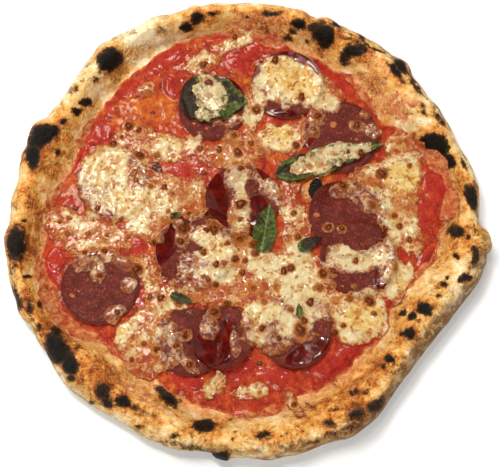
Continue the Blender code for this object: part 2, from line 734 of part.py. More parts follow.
def dab_reach(x, y):
    """How far inside one of the small dabs each point is."""
    reach = np.max([oval_reach(x, y, dab) for dab in CHEESE_DABS], axis=0)
    return reach + DAB_RAGGED * lumps(x, y, DAB_RAGGED_SIZE, SEEDS["dab edge"])


def make_cheese(field, material):
    """Every pool and dab of melted cheese, one object for each connected part."""
    sheets = []
    for reach, step in ((cheese_reach, CHEESE_STEP), (dab_reach, DAB_STEP)):
        points, triangles = clipped_plan(reach, FIELD_HALF - 20.0, step)
        sheets += [(plan, corners, reach) for plan, corners in separate(points, triangles)]
    for number, (plan, corners, reach) in enumerate(sheets, start=1):
        thickness = cheese_thickness(plan, reach(plan[:, 0], plan[:, 1]))
        name = f"cheese_{number:02d}"
        field = lay_slab(name, plan, corners, 0.0, thickness, field, material, soft=True, runs=True)[1]
    return field


def make_leaf(number, leaf_sizes, field, material):
    """One basil leaf: a pointed oval, raised along its edges and waved across, thin all over."""
    middle_x, middle_y, length, width, turn, fold, wave = leaf_sizes
    angle = math.radians(turn)
    sides, rings = (SMALL_LEAF_SIDES, (1.0,)) if length < SMALL_LEAF else (LEAF_SIDES, LEAF_RINGS)

    def outline(turns):
        taper = np.abs(np.sin(turns / 2.0)) ** LEAF_TIP * 1.12
        return np.stack([length / 2 * np.cos(turns), width / 2 * np.sin(turns) * taper], axis=-1)

    plan, triangles = disc_plan(rings, sides, outline)
    lift = fold * np.abs(plan[:, 1]) / (width / 2)
    lift += wave * (0.5 + 0.5 * np.sin(plan[:, 0] * 0.42 + plan[:, 1] * 0.25 + number))
    along, across = plan[:, 0].copy(), plan[:, 1].copy()
    plan[:, 0] = middle_x + along * math.cos(angle) - across * math.sin(angle)
    plan[:, 1] = middle_y + along * math.sin(angle) + across * math.cos(angle)
    name = f"basil_{number:02d}"
    return lay_slab(name, plan, triangles, lift, LEAF_THICKNESS, field, material, soft=True)[1]


def make_leaf_cheese(field, material):
    """The cheese that ran over the large leaves."""
    for number, pool in enumerate(LEAF_POOLS, start=1):
        def reach(x, y, pool=pool):
            ragged = lumps(x, y, DAB_RAGGED_SIZE, SEEDS["leaf cheese edge"])
            return oval_reach(x, y, pool) + LEAF_POOL_RAGGED * ragged

        points, triangles = clipped_plan(reach, FIELD_HALF - 20.0, LEAF_POOL_STEP)
        plan, corners = separate(points, triangles)[0]
        thickness = cheese_thickness(plan, reach(plan[:, 0], plan[:, 1]))
        name = f"cheese_on_basil_{number:02d}"
        field = lay_slab(name, plan, corners, 0.0, thickness, field, material, soft=True, runs=True)[1]
    return field


def main():
    start_empty()
    materials = {name: make_material(name) for name in COLOURS}
    dough = make_dough(materials["dough"])
    sauce, field = make_sauce(field_of_object(dough), materials["sauce"])
    combine(dough, bubble_shape("bubble", 0.0, materials["dough"]), "UNION")
    combine(sauce, bubble_shape("bubble_clearance", GAP, materials["sauce"]), "DIFFERENCE")
    field = np.maximum(field, field_of_object(dough))
    for number, slice_sizes in enumerate(SALAMI, start=1):
        field = make_salami(number, slice_sizes, field, materials["salami"])
    field = make_cheese(field, materials["cheese"])
    for number, leaf_sizes in enumerate(BASIL, start=1):
        field = make_leaf(number, leaf_sizes, field, materials["basil"])
    make_leaf_cheese(field, materials["cheese"])


main()
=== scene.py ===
import math

import bpy
import numpy as np
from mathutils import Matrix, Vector


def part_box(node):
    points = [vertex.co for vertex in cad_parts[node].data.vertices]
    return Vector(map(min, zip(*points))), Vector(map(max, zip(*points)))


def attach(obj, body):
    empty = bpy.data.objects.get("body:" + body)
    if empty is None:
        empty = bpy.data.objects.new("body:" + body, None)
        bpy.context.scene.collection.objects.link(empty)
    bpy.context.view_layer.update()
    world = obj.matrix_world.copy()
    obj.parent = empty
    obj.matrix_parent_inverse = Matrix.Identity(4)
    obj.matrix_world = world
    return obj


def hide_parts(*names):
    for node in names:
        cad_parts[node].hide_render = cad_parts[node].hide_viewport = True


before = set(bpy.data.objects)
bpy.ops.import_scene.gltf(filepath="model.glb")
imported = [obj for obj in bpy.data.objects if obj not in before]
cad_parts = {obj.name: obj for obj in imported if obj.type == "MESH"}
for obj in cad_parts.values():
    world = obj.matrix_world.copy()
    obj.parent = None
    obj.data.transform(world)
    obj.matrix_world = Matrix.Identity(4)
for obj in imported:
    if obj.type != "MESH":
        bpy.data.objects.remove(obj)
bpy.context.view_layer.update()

# A whole salami pizza. Lengths are millimetres until a mesh is made, +Z is up and -Y is the near side.
# Each layer is laid on a height field of what is below it.
mm = 0.001
metre = 1000.0
tau = 2.0 * math.pi
rng = np.random.default_rng(7)
eye = (1.5, -181.2, 604.0)    # where the photo is taken from
toppingsLevel = 8.0


# A smooth closed curve through evenly spaced values, read at bearings in radians.
def around(values, bearing):
    values = np.asarray(values, float)
    place = np.asarray(bearing) / tau * len(values)
    left = np.floor(place).astype(int)
    t = place - left
    a, b, c, d = (values[(left + k) % len(values)] for k in (-1, 0, 1, 2))
    return b + 0.5 * t * (c - a + t * (2 * a - 5 * b + 4 * c - d + t * (3 * (b - c) + d - a)))


# Uneven relief from -1 to 1: random values on a lattice, blended with s*s*(3-2s) between its points.
def lumps(x, y, size, seed):
    count = 64
    lattice = np.random.default_rng(seed).uniform(-1.0, 1.0, (count, count))
    u = np.asarray(x) / size + count / 2
    v = np.asarray(y) / size + count / 2
    i, j = np.floor(u).astype(int), np.floor(v).astype(int)
    s = (u - i) ** 2 * (3.0 - 2.0 * (u - i))
    t = (v - j) ** 2 * (3.0 - 2.0 * (v - j))
    near = lattice[i % count, j % count] * (1 - s) + lattice[(i + 1) % count, j % count] * s
    far = lattice[i % count, (j + 1) % count] * (1 - s) + lattice[(i + 1) % count, (j + 1) % count] * s
    return near * (1 - t) + far * t


# Lumps of halving size and height, added up.
def rough(x, y, size, seed, layers=3):
    total = sum(lumps(x, y, size / 2 ** k, seed + k) / 2 ** k for k in range(layers))
    return total / (2.0 - 0.5 ** (layers - 1))


# How far inside an oval a point is: (1 - distance / oval radius) times its smaller half size.
def ovalReach(x, y, oval):
    middleX, middleY, halfLength, halfWidth, turn = oval[:5]
    angle = math.radians(turn)
    along = (x - middleX) * math.cos(angle) + (y - middleY) * math.sin(angle)
    across = (y - middleY) * math.cos(angle) - (x - middleX) * math.sin(angle)
    return (1.0 - np.hypot(along / halfLength, across / halfWidth)) * min(halfLength, halfWidth)


# From 0 to 1 with eased ends: v*v*(3-2v).
def soften(value):
    value = np.clip(value, 0.0, 1.0)
    return value * value * (3.0 - 2.0 * value)


# The strongest of several ovals at each point, fading over a margin either side of their edges.
def ovalMask(x, y, ovals, margin):
    mask = np.zeros(np.shape(x))
    for oval in ovals:
        strength = oval[5] if len(oval) > 5 else 1.0
        mask = np.maximum(mask, strength * soften(0.5 + ovalReach(x, y, oval) / (2.0 * margin)))
    return mask


gridStep = 0.75
gridHalf = 165.0
gridLine = np.arange(-gridHalf, gridHalf + gridStep / 2, gridStep)
gridX, gridY = np.meshgrid(gridLine, gridLine)


# A field read between its grid points, by shares of the four nearest.
def readGrid(field, x, y):
    u = np.clip((x + gridHalf) / gridStep, 0.0, len(gridLine) - 1.001)
    v = np.clip((y + gridHalf) / gridStep, 0.0, len(gridLine) - 1.001)
    i, j = u.astype(int), v.astype(int)
    s, t = u - i, v - j
    near = field[j, i] * (1 - s) + field[j, i + 1] * s
    far = field[j + 1, i] * (1 - s) + field[j + 1, i + 1] * s
    return near * (1 - t) + far * t


# A Gaussian blur, done as a fall of exp(-2 (pi size frequency)^2) over the field's frequencies.
def blurred(field, size):
    up = np.fft.fftfreq(field.shape[0], gridStep)[:, None]
    over = np.fft.rfftfreq(field.shape[1], gridStep)[None, :]
    fall = np.exp(-2.0 * (math.pi * size) ** 2 * (up ** 2 + over ** 2))
    return np.fft.irfft2(np.fft.rfft2(field) * fall, field.shape)


# How far a point lies below (above, where negative) the blurred surface round it.
def hollowness(surface, size):
    return blurred(surface, size) - surface


# Each column takes the greatest height within a reach of it.
def widened(field, reach):
    steps = int(math.ceil(reach / gridStep))
    result = field.copy()
    for j in range(-steps, steps + 1):
        for i in range(-steps, steps + 1):
            if math.hypot(i, j) * gridStep <= reach:
                result = np.maximum(result, np.roll(field, (j, i), axis=(0, 1)))
    return result


# A finished piece: its mesh in metres with its attributes, on the body, in place of the nodes it stands for.
def makePiece(name, points, faces, material, attributes, replaced, sharp=None):
    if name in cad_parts:
        name = name + "_look"
    mesh = bpy.data.meshes.new(name)
    points = np.asarray(points, float) * mm
    faces = [np.asarray(group, np.int32) for group in faces if len(group)]
    loops = np.concatenate([group.ravel() for group in faces])
    sizes = np.concatenate([np.full(len(group), group.shape[1], np.int32) for group in faces])
    starts = np.concatenate([[0], np.cumsum(sizes)[:-1]]).astype(np.int32)
    mesh.vertices.add(len(points))
    mesh.vertices.foreach_set("co", points.astype(np.float32).ravel())
    mesh.loops.add(len(loops))
    mesh.loops.foreach_set("vertex_index", loops)
    mesh.polygons.add(len(sizes))
    mesh.polygons.foreach_set("loop_start", starts)
    mesh.polygons.foreach_set("use_smooth", np.ones(len(sizes), bool))
    mesh.update(calc_edges=True)
    mesh.validate()
    for key, values in attributes.items():
        layer = mesh.attributes.new(key, "FLOAT", "POINT")
        layer.data.foreach_set("value", np.asarray(values, np.float32).ravel())
    if sharp:
        mesh.set_sharp_from_angle(angle=math.radians(sharp))
    mesh.materials.append(material)
    piece = bpy.data.objects.new(name, mesh)
    bpy.context.scene.collection.objects.link(piece)
    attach(piece, "root")
    if replaced:
        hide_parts(*replaced)


def pointList(x, y, z):
    return np.stack([x, y, z], axis=-1).reshape(-1, 3)


# Quads between rings of points, each ring closed on itself; ring 0 is the outer one seen from above.
def ringFaces(ringCount, sides, flip=False):
    ring, side = np.meshgrid(np.arange(ringCount - 1), np.arange(sides), indexing="ij")
    onward = (side + 1) % sides
    a, b = ring * sides + side, ring * sides + onward
    c, d = b + sides, a + sides
    quads = np.stack([a, b, c, d], axis=-1).reshape(-1, 4)
    return quads[:, ::-1] if flip else quads


# Triangles between a ring of points and one centre.
def fanFaces(centre, ringStart, sides, flip=False):
    side = np.arange(sides)
    onward = (side + 1) % sides
    fan = np.stack([np.full(sides, centre), ringStart + side, ringStart + onward], axis=-1)
    return fan[:, ::-1] if flip else fan


# The kept cells of a square grid over the area where a reach function is above zero. Points next
# to the edge move onto its zero line by reach times slope over slope squared.
def sheetPlan(reach, step, half):
    line = np.arange(-half, half + step / 2, step)
    x, y = np.meshgrid(line, line)
    value = reach(x, y)
    corners = (value[:-1, :-1], value[1:, :-1], value[:-1, 1:], value[1:, 1:])
    kept = np.min(corners, axis=0) > -0.45 * step
    kept[[0, -1], :] = False
    kept[:, [0, -1]] = False
    sides = (slice(None, -1), slice(1, None))
    quarters = [(rows, columns) for rows in sides for columns in sides]
    while True:
        a, b, c, d = (kept[quarter] for quarter in quarters)
        pinch = (a & d & ~b & ~c) | (b & c & ~a & ~d)
        if not pinch.any():
            break
        for quarter in quarters:
            kept[quarter] &= ~pinch
    keptRound = np.zeros(x.shape, int)
    for quarter in quarters:
        keptRound[quarter] += kept
    edge = (keptRound > 0) & (keptRound < 4)
    ex, ey = x[edge], y[edge]
    startX, startY = ex.copy(), ey.copy()
    for _ in range(2):
        here = reach(ex, ey)
        slopeX = (reach(ex + 0.2, ey) - reach(ex - 0.2, ey)) / 0.4
        slopeY = (reach(ex, ey + 0.2) - reach(ex, ey - 0.2)) / 0.4
        steep = np.maximum(slopeX ** 2 + slopeY ** 2, 0.25)
        ex, ey = ex - here * slopeX / steep, ey - here * slopeY / steep
        far = np.maximum(np.hypot(ex - startX, ey - startY) / (0.75 * step), 1.0)
        ex, ey = startX + (ex - startX) / far, startY + (ey - startY) / far
    x[edge], y[edge] = ex, ey
    value = np.where(edge, 0.0, np.maximum(reach(x, y), 0.0))
    return x, y, value, kept


# Labels the connected parts of a mask: each cell takes the lowest index it can reach.
def connectedParts(mask):
    label = np.where(mask, np.arange(mask.size).reshape(mask.shape), -1)
    while True:
        best = label.copy()
        for axis in (0, 1):
            for shift in (1, -1):
                near = np.roll(label, shift, axis)
                joined = mask & (near >= 0)
                best[joined] = np.minimum(best[joined], near[joined])
        flat = best.ravel()
        inside = flat >= 0
        flat[inside] = flat[flat[inside]]
        best = flat.reshape(mask.shape)
        if (best == label).all():
            return label
        label = best


# A closed slab over kept cells: top faces, the same faces turned over below, and walls between.
def slabMesh(kept, x, y, top, bottom):
    rows, columns = np.nonzero(kept)
    width = x.shape[1]
    a = rows * width + columns
    quads = np.stack([a, a + 1, a + 1 + width, a + width], axis=-1)
    padded = np.pad(kept, 1)
    below, above, leftOf, rightOf = padded[:-2, 1:-1], padded[2:, 1:-1], padded[1:-1, :-2], padded[1:-1, 2:]
    edges = []
    for near, start, end in ((below, 0, 1), (rightOf, 1, 1 + width), (above, 1 + width, width), (leftOf, width, 0)):
        r, c = np.nonzero(kept & ~near)
        corner = r * width + c
        edges.append(np.stack([corner + start, corner + end], axis=-1))
    edges = np.concatenate(edges)
    used, flat = np.unique(quads, return_inverse=True)
    quads = flat.reshape(-1, 4)
    edges = np.searchsorted(used, edges)
    count = len(used)
    planX, planY = x.ravel()[used], y.ravel()[used]
    points = np.concatenate([pointList(planX, planY, level.ravel()[used]) for level in (top, bottom)])
    p, q = edges[:, 0], edges[:, 1]
    walls = np.stack([p + count, q + count, q, p], axis=-1)
    return points, [quads, quads[:, ::-1] + count, walls], used


def linearColour(code):
    parts = np.array([int(code[k:k + 2], 16) for k in (0, 2, 4)]) / 255.0
    return (*np.where(parts <= 0.04045, parts / 12.92, ((parts + 0.055) / 1.055) ** 2.4).tolist(), 1.0)


# Sets a socket: another socket is linked to it, a text is a colour code, anything else is its plain value.
def plug(value, socket):
    if isinstance(value, bpy.types.NodeSocket):
        socket.id_data.links.new(value, socket)
    else:
        socket.default_value = linearColour(value) if isinstance(value, str) else value


# A new node in the tree that its linked inputs belong to.
def addNode(kind, inputs, **settings):
    tree = next(value for value in inputs.values() if isinstance(value, bpy.types.NodeSocket)).id_data
    node = tree.nodes.new("ShaderNode" + kind)
    for key, value in settings.items():
        setattr(node, key, value)
    for key, value in inputs.items():
        plug(value, node.inputs[key])
    return node


# Noise from 0 to 1 whose features are about size millimetres across.
def noise(point, size, detail=3.0, roughness=0.55, distortion=0.0):
    return addNode("TexNoise", {"Vector": point, "Scale": metre / size, "Detail": detail,
                                "Roughness": roughness, "Distortion": distortion}).outputs["Fac"]


def voronoi(point, size, output="Distance"):
    return addNode("TexVoronoi", {"Vector": point, "Scale": metre / size}).outputs[output]


# The point moved by up to half the amount (millimetres) by a noise of its own.
def bentPoint(point, size, amount):
    shift = addNode("TexNoise", {"Vector": point, "Scale": metre / size}).outputs["Color"]
    moved = addNode("VectorMath", {0: shift, 1: (amount * mm,) * 3, 2: point}, operation="MULTIPLY_ADD")
    return moved.outputs["Vector"]


def calc(operation, first, second=0.0):
    return addNode("Math", {0: first, 1: second}, operation=operation).outputs[0]


def plus(first, second):
    return calc("ADD", first, second)


def minus(first, second):
    return calc("SUBTRACT", first, second)


def times(first, second):
    return calc("MULTIPLY", first, second)


# How far a value is from its middle, which is small along the middle's contours.
def awayFrom(value, middle):
    return calc("ABSOLUTE", minus(value, middle))


# A value shifted by a noise about its middle, so that its contours wander.
def addNoise(value, grain, amount):
    return plus(value, times(minus(grain, 0.5), amount))


# Value from low to high becomes 0 to 1, eased.
def ease(value, low, high):
    return addNode("MapRange", {"Value": value, "From Min": low, "From Max": high},
                   interpolation_type="SMOOTHSTEP").outputs["Result"]


def mixColour(factor, first, second):
    return addNode("Mix", {0: factor, 6: first, 7: second}, data_type="RGBA").outputs[2]


# A colour laid over a base where the mask is, at a share of its strength.
def laid(base, mask, share, colour):
    return mixColour(times(mask, share), base, colour)


def ramp(value, *stops):
    node = addNode("ValToRGB", {"Fac": value})
    elements = node.color_ramp.elements
    while len(elements) < len(stops):
        elements.new(0.5)
    for element, (place, code) in zip(elements, stops):
        element.position = place
        element.color = linearColour(code)
    return node.outputs["Color"]


def bump(height, strength, distance):
    return addNode("Bump", {"Strength": strength, "Distance": distance * mm, "Height": height}).outputs["Normal"]


# A material with its shader's inputs, the point it is seen at, and a reader of the mesh's attributes.
def newMaterial(name, values):
    material = bpy.data.materials.new(name)
    material.use_nodes = True
    nodes = material.node_tree.nodes
    inputs = nodes["Principled BSDF"].inputs
    for key, value in values.items():
        plug(value, inputs[key])
    point = nodes.new("ShaderNodeTexCoord").outputs["Object"]

    def read(attribute):
        node = nodes.new("ShaderNodeAttribute")
        node.attribute_name = attribute
        return node.outputs["Fac"]

    return material, inputs, point, read


# Group: a mask read from vertices has its edge broken up by fine noise, so that it looks sharp.
def makeBreakUp():
    group = bpy.data.node_groups.new("breakUp", "ShaderNodeTree")
    for name in ("Mask", "Size", "Amount"):
        group.interface.new_socket(name, in_out="INPUT", socket_type="NodeSocketFloat")
    group.interface.new_socket("Mask", in_out="OUTPUT", socket_type="NodeSocketFloat")
    given = group.nodes.new("NodeGroupInput").outputs
    point = group.nodes.new("ShaderNodeTexCoord").outputs["Object"]
    grain = addNode("TexNoise", {"Vector": point, "Scale": calc("DIVIDE", metre, given["Size"]),
                                 "Detail": 4.0, "Roughness": 0.6}).outputs["Fac"]
    broken = addNoise(given["Mask"], grain, given["Amount"])
    plug(broken, group.nodes.new("NodeGroupOutput").inputs["Mask"])
    return group


breakUpGroup = makeBreakUp()


def breakUp(mask, size, amount):
    return addNode("Group", {"Mask": mask, "Size": size, "Amount": amount}, node_tree=breakUpGroup).outputs["Mask"]


dough = {
    "outline": (150.6, 150.0, 146.6, 149.4, 150.3, 149.9, 153.8, 153.6, 155.7, 153.2, 148.9, 154.3,
                153.4, 156.7, 154.9, 154.6, 151.6, 150.7, 150.9, 151.1, 149.8, 139.8, 142.6, 151.1),
    "foot": (130.0, 133.0, 117.0, 113.0, 121.0, 127.0, 131.0, 136.0, 134.0, 128.0, 122.0, 122.0,
             131.0, 137.0, 133.0, 118.0, 120.0, 126.0, 125.0, 123.0, 116.0, 112.0, 107.0, 116.0),
    "baseThickness": 4.0,
    "widestLevel": 9.5,
    "crestHeight": 14.5,      # before what the rim's width adds
    "crestPerWidth": 0.2,
    "crestInset": 0.42,
    "tuck": 12.0,
    "puff": 2.2,
    "puffSize": 25.0,
    "crinkle": 0.5,           # height of the fine wrinkles
    "knobs": 0.55,            # height of the bumps between wrinkles and puffs
    "sides": 860,
    "underRings": 12,
    "sideRings": 20,
    "slopeRings": 36,
    "baseRings": (0.97, 0.9, 0.7, 0.35),
    "meanRadius": 150.0,
    "scorchWobble": 2.2,
    "bubble": (43.8, 19.5, 9.0, 5.5),                 # x, y, radius, rise
    "bubbleChar": (44.5, 19.8, 4.6, 7.2, -8.0),
    # blisters and bumps: x, y, length, width, turn, height
    "rimBlisters": (
        (-138, 56, 22, 19, 10, 3.6), (-142, 42, 16, 9, 80, 2), (-93, 112, 17, 16, 0, 2.6),
        (-148, -17, 22, 13, 85, 2.2), (-118, -84, 24, 15, 110, 3), (-109, -95, 12, 9, 120, 1.6),
        (52.5, 131, 18, 15, 70, 3), (35, 139, 12, 9, 0, 1.6), (71.5, 118, 20, 16, 60, 1.8),
        (122.5, 49, 20, 18, 0, 3), (131, 39, 12, 10, 40, 1.6), (146, 14, 18, 8, 95, 1.6),
        (133, -8, 12, 10, 20, 1.6), (137.5, -40.5, 9, 7, 30, 1.2), (146, -27, 13, 7, 80, 1.2),
        (104, 106, 14, 12, 130, 1.4), (-41.5, 136.5, 10, 8, 20, 1.5), (-35.5, 144, 8, 7, 0, 1.4),
        (-90, -111.5, 13, 10, 60, 1.6), (-76.5, -117, 8, 7, 0, 1.4), (-49, -114, 16, 8, -35, 1.6),
        (-26, -132.5, 12, 8, 0, 1.6), (-16, -151, 9, 8, 0, 3.2), (66, -126, 16, 9, 25, 1.6),
        (111, -60, 9, 8, 0, 1.4), (99, -76, 8, 8, 0, 1.2), (150, -16, 14, 11, 90, 4.6),
    ),
    # char as seen from above: x, y, length, width, turn, how burnt
    "charSpots": (
        (-138, 57, 21, 16, 25, 1), (-142, 43, 8, 15, 5, 1), (-130, 60, 9, 9, 0, 1), (-93.5, 112, 15, 19, -20, 1),
        (-114, 75, 6, 5, -20, 1), (-108.5, 81.5, 8, 6, -15, 0.85), (-122, 67, 4, 3, 0, 0.9),
        (-98, 72.5, 5, 4, 0, 0.5), (-117, 90, 7, 6, 40, 0.5), (-102, 97.5, 7, 6, 60, 0.5),
        (-111, 98, 6, 6, 0, 0.42), (-109, 108, 5, 3, 40, 0.5), (-124.5, 80, 3, 4, 0, 0.42),
        (-59, 135.5, 8, 6, 0, 0.48), (-79, 132, 8, 3, 35, 0.4), (-42, 136.5, 9, 7, 10, 0.95),
        (-35.5, 144, 8, 7, 0, 1), (-24.5, 147, 5, 3, 0, 0.9), (-125, 45.5, 3, 3, 0, 0.7),
        (-126, 37, 3, 3, 0, 0.5), (-145, -1, 4, 3, 0, 0.8), (-151, 8, 4, 5, 0, 0.4), (-4, 148, 4, 2.5, 0, 0.5),
        (-1, 144, 3, 2.5, 0, 0.5), (16, 147.5, 12, 4, -5, 0.8), (35, 139, 10, 7, -10, 0.95),
        (31, 133, 6, 5, 0, 0.6), (52.5, 130, 13, 17, 0, 1), (45, 137, 8, 6, -20, 0.75), (27, 128, 6, 6, 0, 0.68),
        (41, 126, 6, 4, -20, 0.5), (62, 138.5, 7, 4, -20, 0.9), (67, 117, 8, 15, -25, 0.85),
        (74, 120, 13, 8, 10, 0.8), (70, 127, 14, 4, -25, 0.6), (79, 128.5, 6, 4, -30, 0.8),
        (103, 108, 12, 6, -50, 0.95), (99, 105, 13, 4, -50, 0.9), (106, 97.5, 4, 8, 20, 0.5),
        (113, 93, 12, 3, -58, 0.75), (118, 76.5, 4, 9, 10, 0.62), (126, 70, 4, 7, 30, 0.6),
        (130.5, 66.5, 5, 4, 0, 0.8), (140, 57, 3, 9, 25, 0.5), (122.5, 49.5, 18, 17, -20, 1),
        (131, 39.5, 11, 10, 0, 0.95), (142, 38, 3, 11, 15, 0.62), (145.7, 14, 7, 18, 12, 0.92),
        (149, 24, 3, 9, 12, 0.5), (150, 2, 2.5, 10, 5, 0.55), (133.5, -8, 11, 9, 10, 0.82),
        (141, -12, 2.5, 4, 0, 0.7), (133, -25.5, 4, 4, 0, 0.8), (145.5, -26.5, 6, 13, -5, 0.78),
        (137.5, -40.5, 8, 6, 10, 0.95), (124, -43.5, 4, 2.5, 0, 0.75), (126.5, -40, 2.5, 2.5, 0, 0.7),
        (121, -51.5, 6, 3, 25, 0.45), (-148, -17, 12, 22, 0, 0.92), (-149, -34, 6, 10, 0, 0.5),
        (-140, -39.5, 5, 2.5, -10, 0.85), (-147, -52, 8, 18, 22, 0.66), (-137, -59, 4, 7, 15, 0.75),
        (-131, -57, 3, 5, 10, 0.6), (-135, -67, 3, 4, 0, 0.55), (-131, -72, 3, 4, 0, 0.85),
        (-118.5, -84.5, 13, 20, 25, 1), (-120, -75, 6, 12, -10, 0.82), (-110, -95, 8, 13, 25, 0.95),
        (-112, -73, 16, 5, 10, 0.62), (-106, -85, 5, 9, 10, 0.42), (-109, -103.5, 4, 4, 0, 0.85),
        (-89, -111.5, 8, 11, 30, 0.78), (-86, -118, 7, 5, -20, 0.85), (-95, -118, 4, 3, 0, 0.6),
        (-76.5, -117, 7, 6, 0, 1), (-69, -121, 10, 4, -30, 0.62), (-60, -125, 10, 3, -20, 0.52),
        (-49, -114.5, 16, 7, -38, 0.82), (-65, -132, 5, 3, 0, 0.66), (-45, -138, 7, 3, -10, 0.66),
        (-33, -138.5, 5, 3, 0, 0.6), (-26, -132.5, 12, 7, 0, 1), (-16, -151, 9, 8, 0, 1),
        (-7, -136, 3, 2.5, 0, 0.6), (-9, -140.5, 3, 2.5, 0, 0.7), (-35, -145, 36, 4, -12, 0.5),
        (-10, -128, 3, 2, 0, 0.6), (10, -138, 9, 4, 0, 0.72), (35, -142, 34, 3, 12, 0.45),
        (66, -126, 14, 7, 20, 0.66), (79, -119, 14, 7, 35, 0.66), (50, -131, 9, 5, 10, 0.6),
        (58, -135, 30, 4, 22, 0.55), (74, -111, 6, 3, 40, 0.6), (64, -112.5, 3, 4, 0, 0.8),
        (67, -110, 2.5, 2.5, 0, 0.75), (38, -120, 8, 3, -25, 0.6), (53, -121.5, 8, 3, 10, 0.6),
        (87.5, -90.5, 5, 4.5, 0, 1), (85, -96.5, 3.5, 4, 0, 0.85), (90, -96, 2.5, 4, 0, 0.7),
        (100.5, -75.5, 6, 5, 0, 1), (96, -76, 3, 3, 0, 0.85), (100, -79, 5, 3, 0, 0.55),
        (111.5, -59.5, 8, 8, 30, 1), (104, -64.5, 5, 5, 0, 0.9), (98, -62, 6, 4, -10, 0.82),
        (108, -67, 5, 2.5, 40, 0.5), (108, -98, 20, 5, 48, 0.42), (93, -112, 16, 5, 42, 0.5),
        (127, -78, 18, 4, 50, 0.4), (139, -58, 14, 3, 65, 0.4),
    ),
    # at every 15 degrees: how toasted the crest is
    "crestToast": (
        0.42, 0.36, 0.32, 0.34, 0.4, 0.55, 0.5, 0.28, 0, 0, 0.22, 0.46, 0.4, 0.48, 0.54, 0.54, 0.46, 0.38, 0.42,
        0.58, 0.66, 0.42, 0.22, 0.28,
    ),
    # how mottled the rim's outer side is
    "sideMottle": (
        0.5, 0.45, 0.6, 0.7, 0.5, 0.3, 0.25, 0.2, 0.35, 0.45, 0.3, 0.25, 0.3, 0.6, 0.45, 0.3, 0.35, 0.55, 0.6,
        0.75, 1, 1.1, 1.05, 0.8,
    ),
    # how strong the scorched line along the edge is
    "edgeLine": (
        0.5, 0.55, 0.65, 0.75, 0.7, 0.4, 0, 0, 0, 0, 0, 0.3, 0.5, 0.55, 0.6, 0.5, 0.3, 0.3, 0.35, 0.3, 0.2, 0.3,
        0.4, 0.5,
    ),
    # where sauce was smeared over the rim: x, y, half length, half width, turn, strength
    "rimSmears": (
        (72, 94, 12, 8, 20, 0.9), (90, 108, 16, 3, -50, 0.75), (88, 98, 14, 3, -60, 0.7),
        (98, 78, 13, 7, -50, 0.8), (107, 82, 10, 4, -30, 0.7), (84, 82, 20, 8, -30, 0.6),
        (20, 139, 24, 9, -5, 0.55), (44, 127, 14, 6, -20, 0.45), (57, 122, 3, 6, -30, 0.6),
        (0, 139, 16, 8, 0, 0.75), (-40, 126, 12, 6, 20, 0.5), (-132, 12, 5, 14, 0, 0.35),
        (-131, -30, 6, 14, 0, 0.35), (-70, -108, 14, 6, -35, 0.6), (-58, -118, 10, 4, -40, 0.5),
        (128, 22, 6, 14, 0, 0.45), (120, -24, 6, 12, -30, 0.3), (63, -106, 6, 5, 30, 0.45),
        (95, -55, 5, 8, -40, 0.35),
    ),
}
print("dough")


# Where the eye sees a point on the toppings' level: it spreads from the eye by the ratio of their depths below it.
def seenFrom(x, y, z):
    spread = (eye[2] - toppingsLevel) / (eye[2] - z)
    return eye[0] + (x - eye[0]) * spread, eye[1] + (y - eye[1]) * spread


# Radius and height over the rim: quarter turns up to the crest, then a half cosine down to the foot.
def rimProfile(bearing):
    outline, foot = around(dough["outline"], bearing), around(dough["foot"], bearing)
    width = outline - foot
    crestRadius = outline - dough["crestInset"] * width
    crest = dough["crestHeight"] + dough["crestPerWidth"] * width
    level, base, tuck = dough["widestLevel"], dough["baseThickness"], dough["tuck"]
    radius, height, share = [], [], []
    for turn in np.linspace(-math.pi / 2, 0.0, dough["underRings"], endpoint=False):
        radius.append(outline - tuck * (1.0 - math.cos(turn)))
        height.append(level * (1.0 + math.sin(turn)) + 0.0 * outline)
        share.append(soften(np.array(1.0 + turn / (math.pi / 2))) * 0.95)
    for turn in np.linspace(0.0, math.pi / 2, dough["sideRings"], endpoint=False):
        radius.append(crestRadius + (outline - crestRadius) * math.cos(turn))
        height.append(level + (crest - level) * math.sin(turn))
        share.append(1.0)
    for part in np.linspace(0.0, 1.0, dough["slopeRings"]):
        fall = 0.5 + 0.5 * math.cos(math.pi * part)
        radius.append(crestRadius - part * (crestRadius - foot))
        height.append(base + (crest - base) * fall)
        share.append(1.0 - part ** 4)
    for part in dough["baseRings"]:
        radius.append(part * foot)
        height.append(base + 0.0 * foot)
        share.append(0.0)
    return np.array(radius), np.array(height), np.array(share)


# The dough's height field: each bearing's own profile, read at the radius of every column.
def doughField(rimRadius, rimHeight):
    sides = dough["sides"]
    first = dough["underRings"] + 4                   # below this ring the wall stands too steep to read
    step = 0.5
    radii = np.arange(0.0, gridHalf + 10.0, step)
    table = np.zeros((sides + 1, len(radii)))
    for side in range(sides):
        path, level = rimRadius[first:, side][::-1], rimHeight[first:, side][::-1]
        table[side] = np.interp(radii, path, level, right=0.0)
    table[sides] = table[0]
    place = (np.arctan2(gridY, gridX) % tau) / tau * sides
    away = np.hypot(gridX, gridY) / step
    i, j = place.astype(int), np.minimum(away.astype(int), len(radii) - 2)
    s, t = place - i, np.clip(away - j, 0.0, 1.0)
    near = table[i, j] * (1 - t) + table[i, j + 1] * t
    far = table[i + 1, j] * (1 - t) + table[i + 1, j + 1] * t
    return near * (1 - s) + far * s


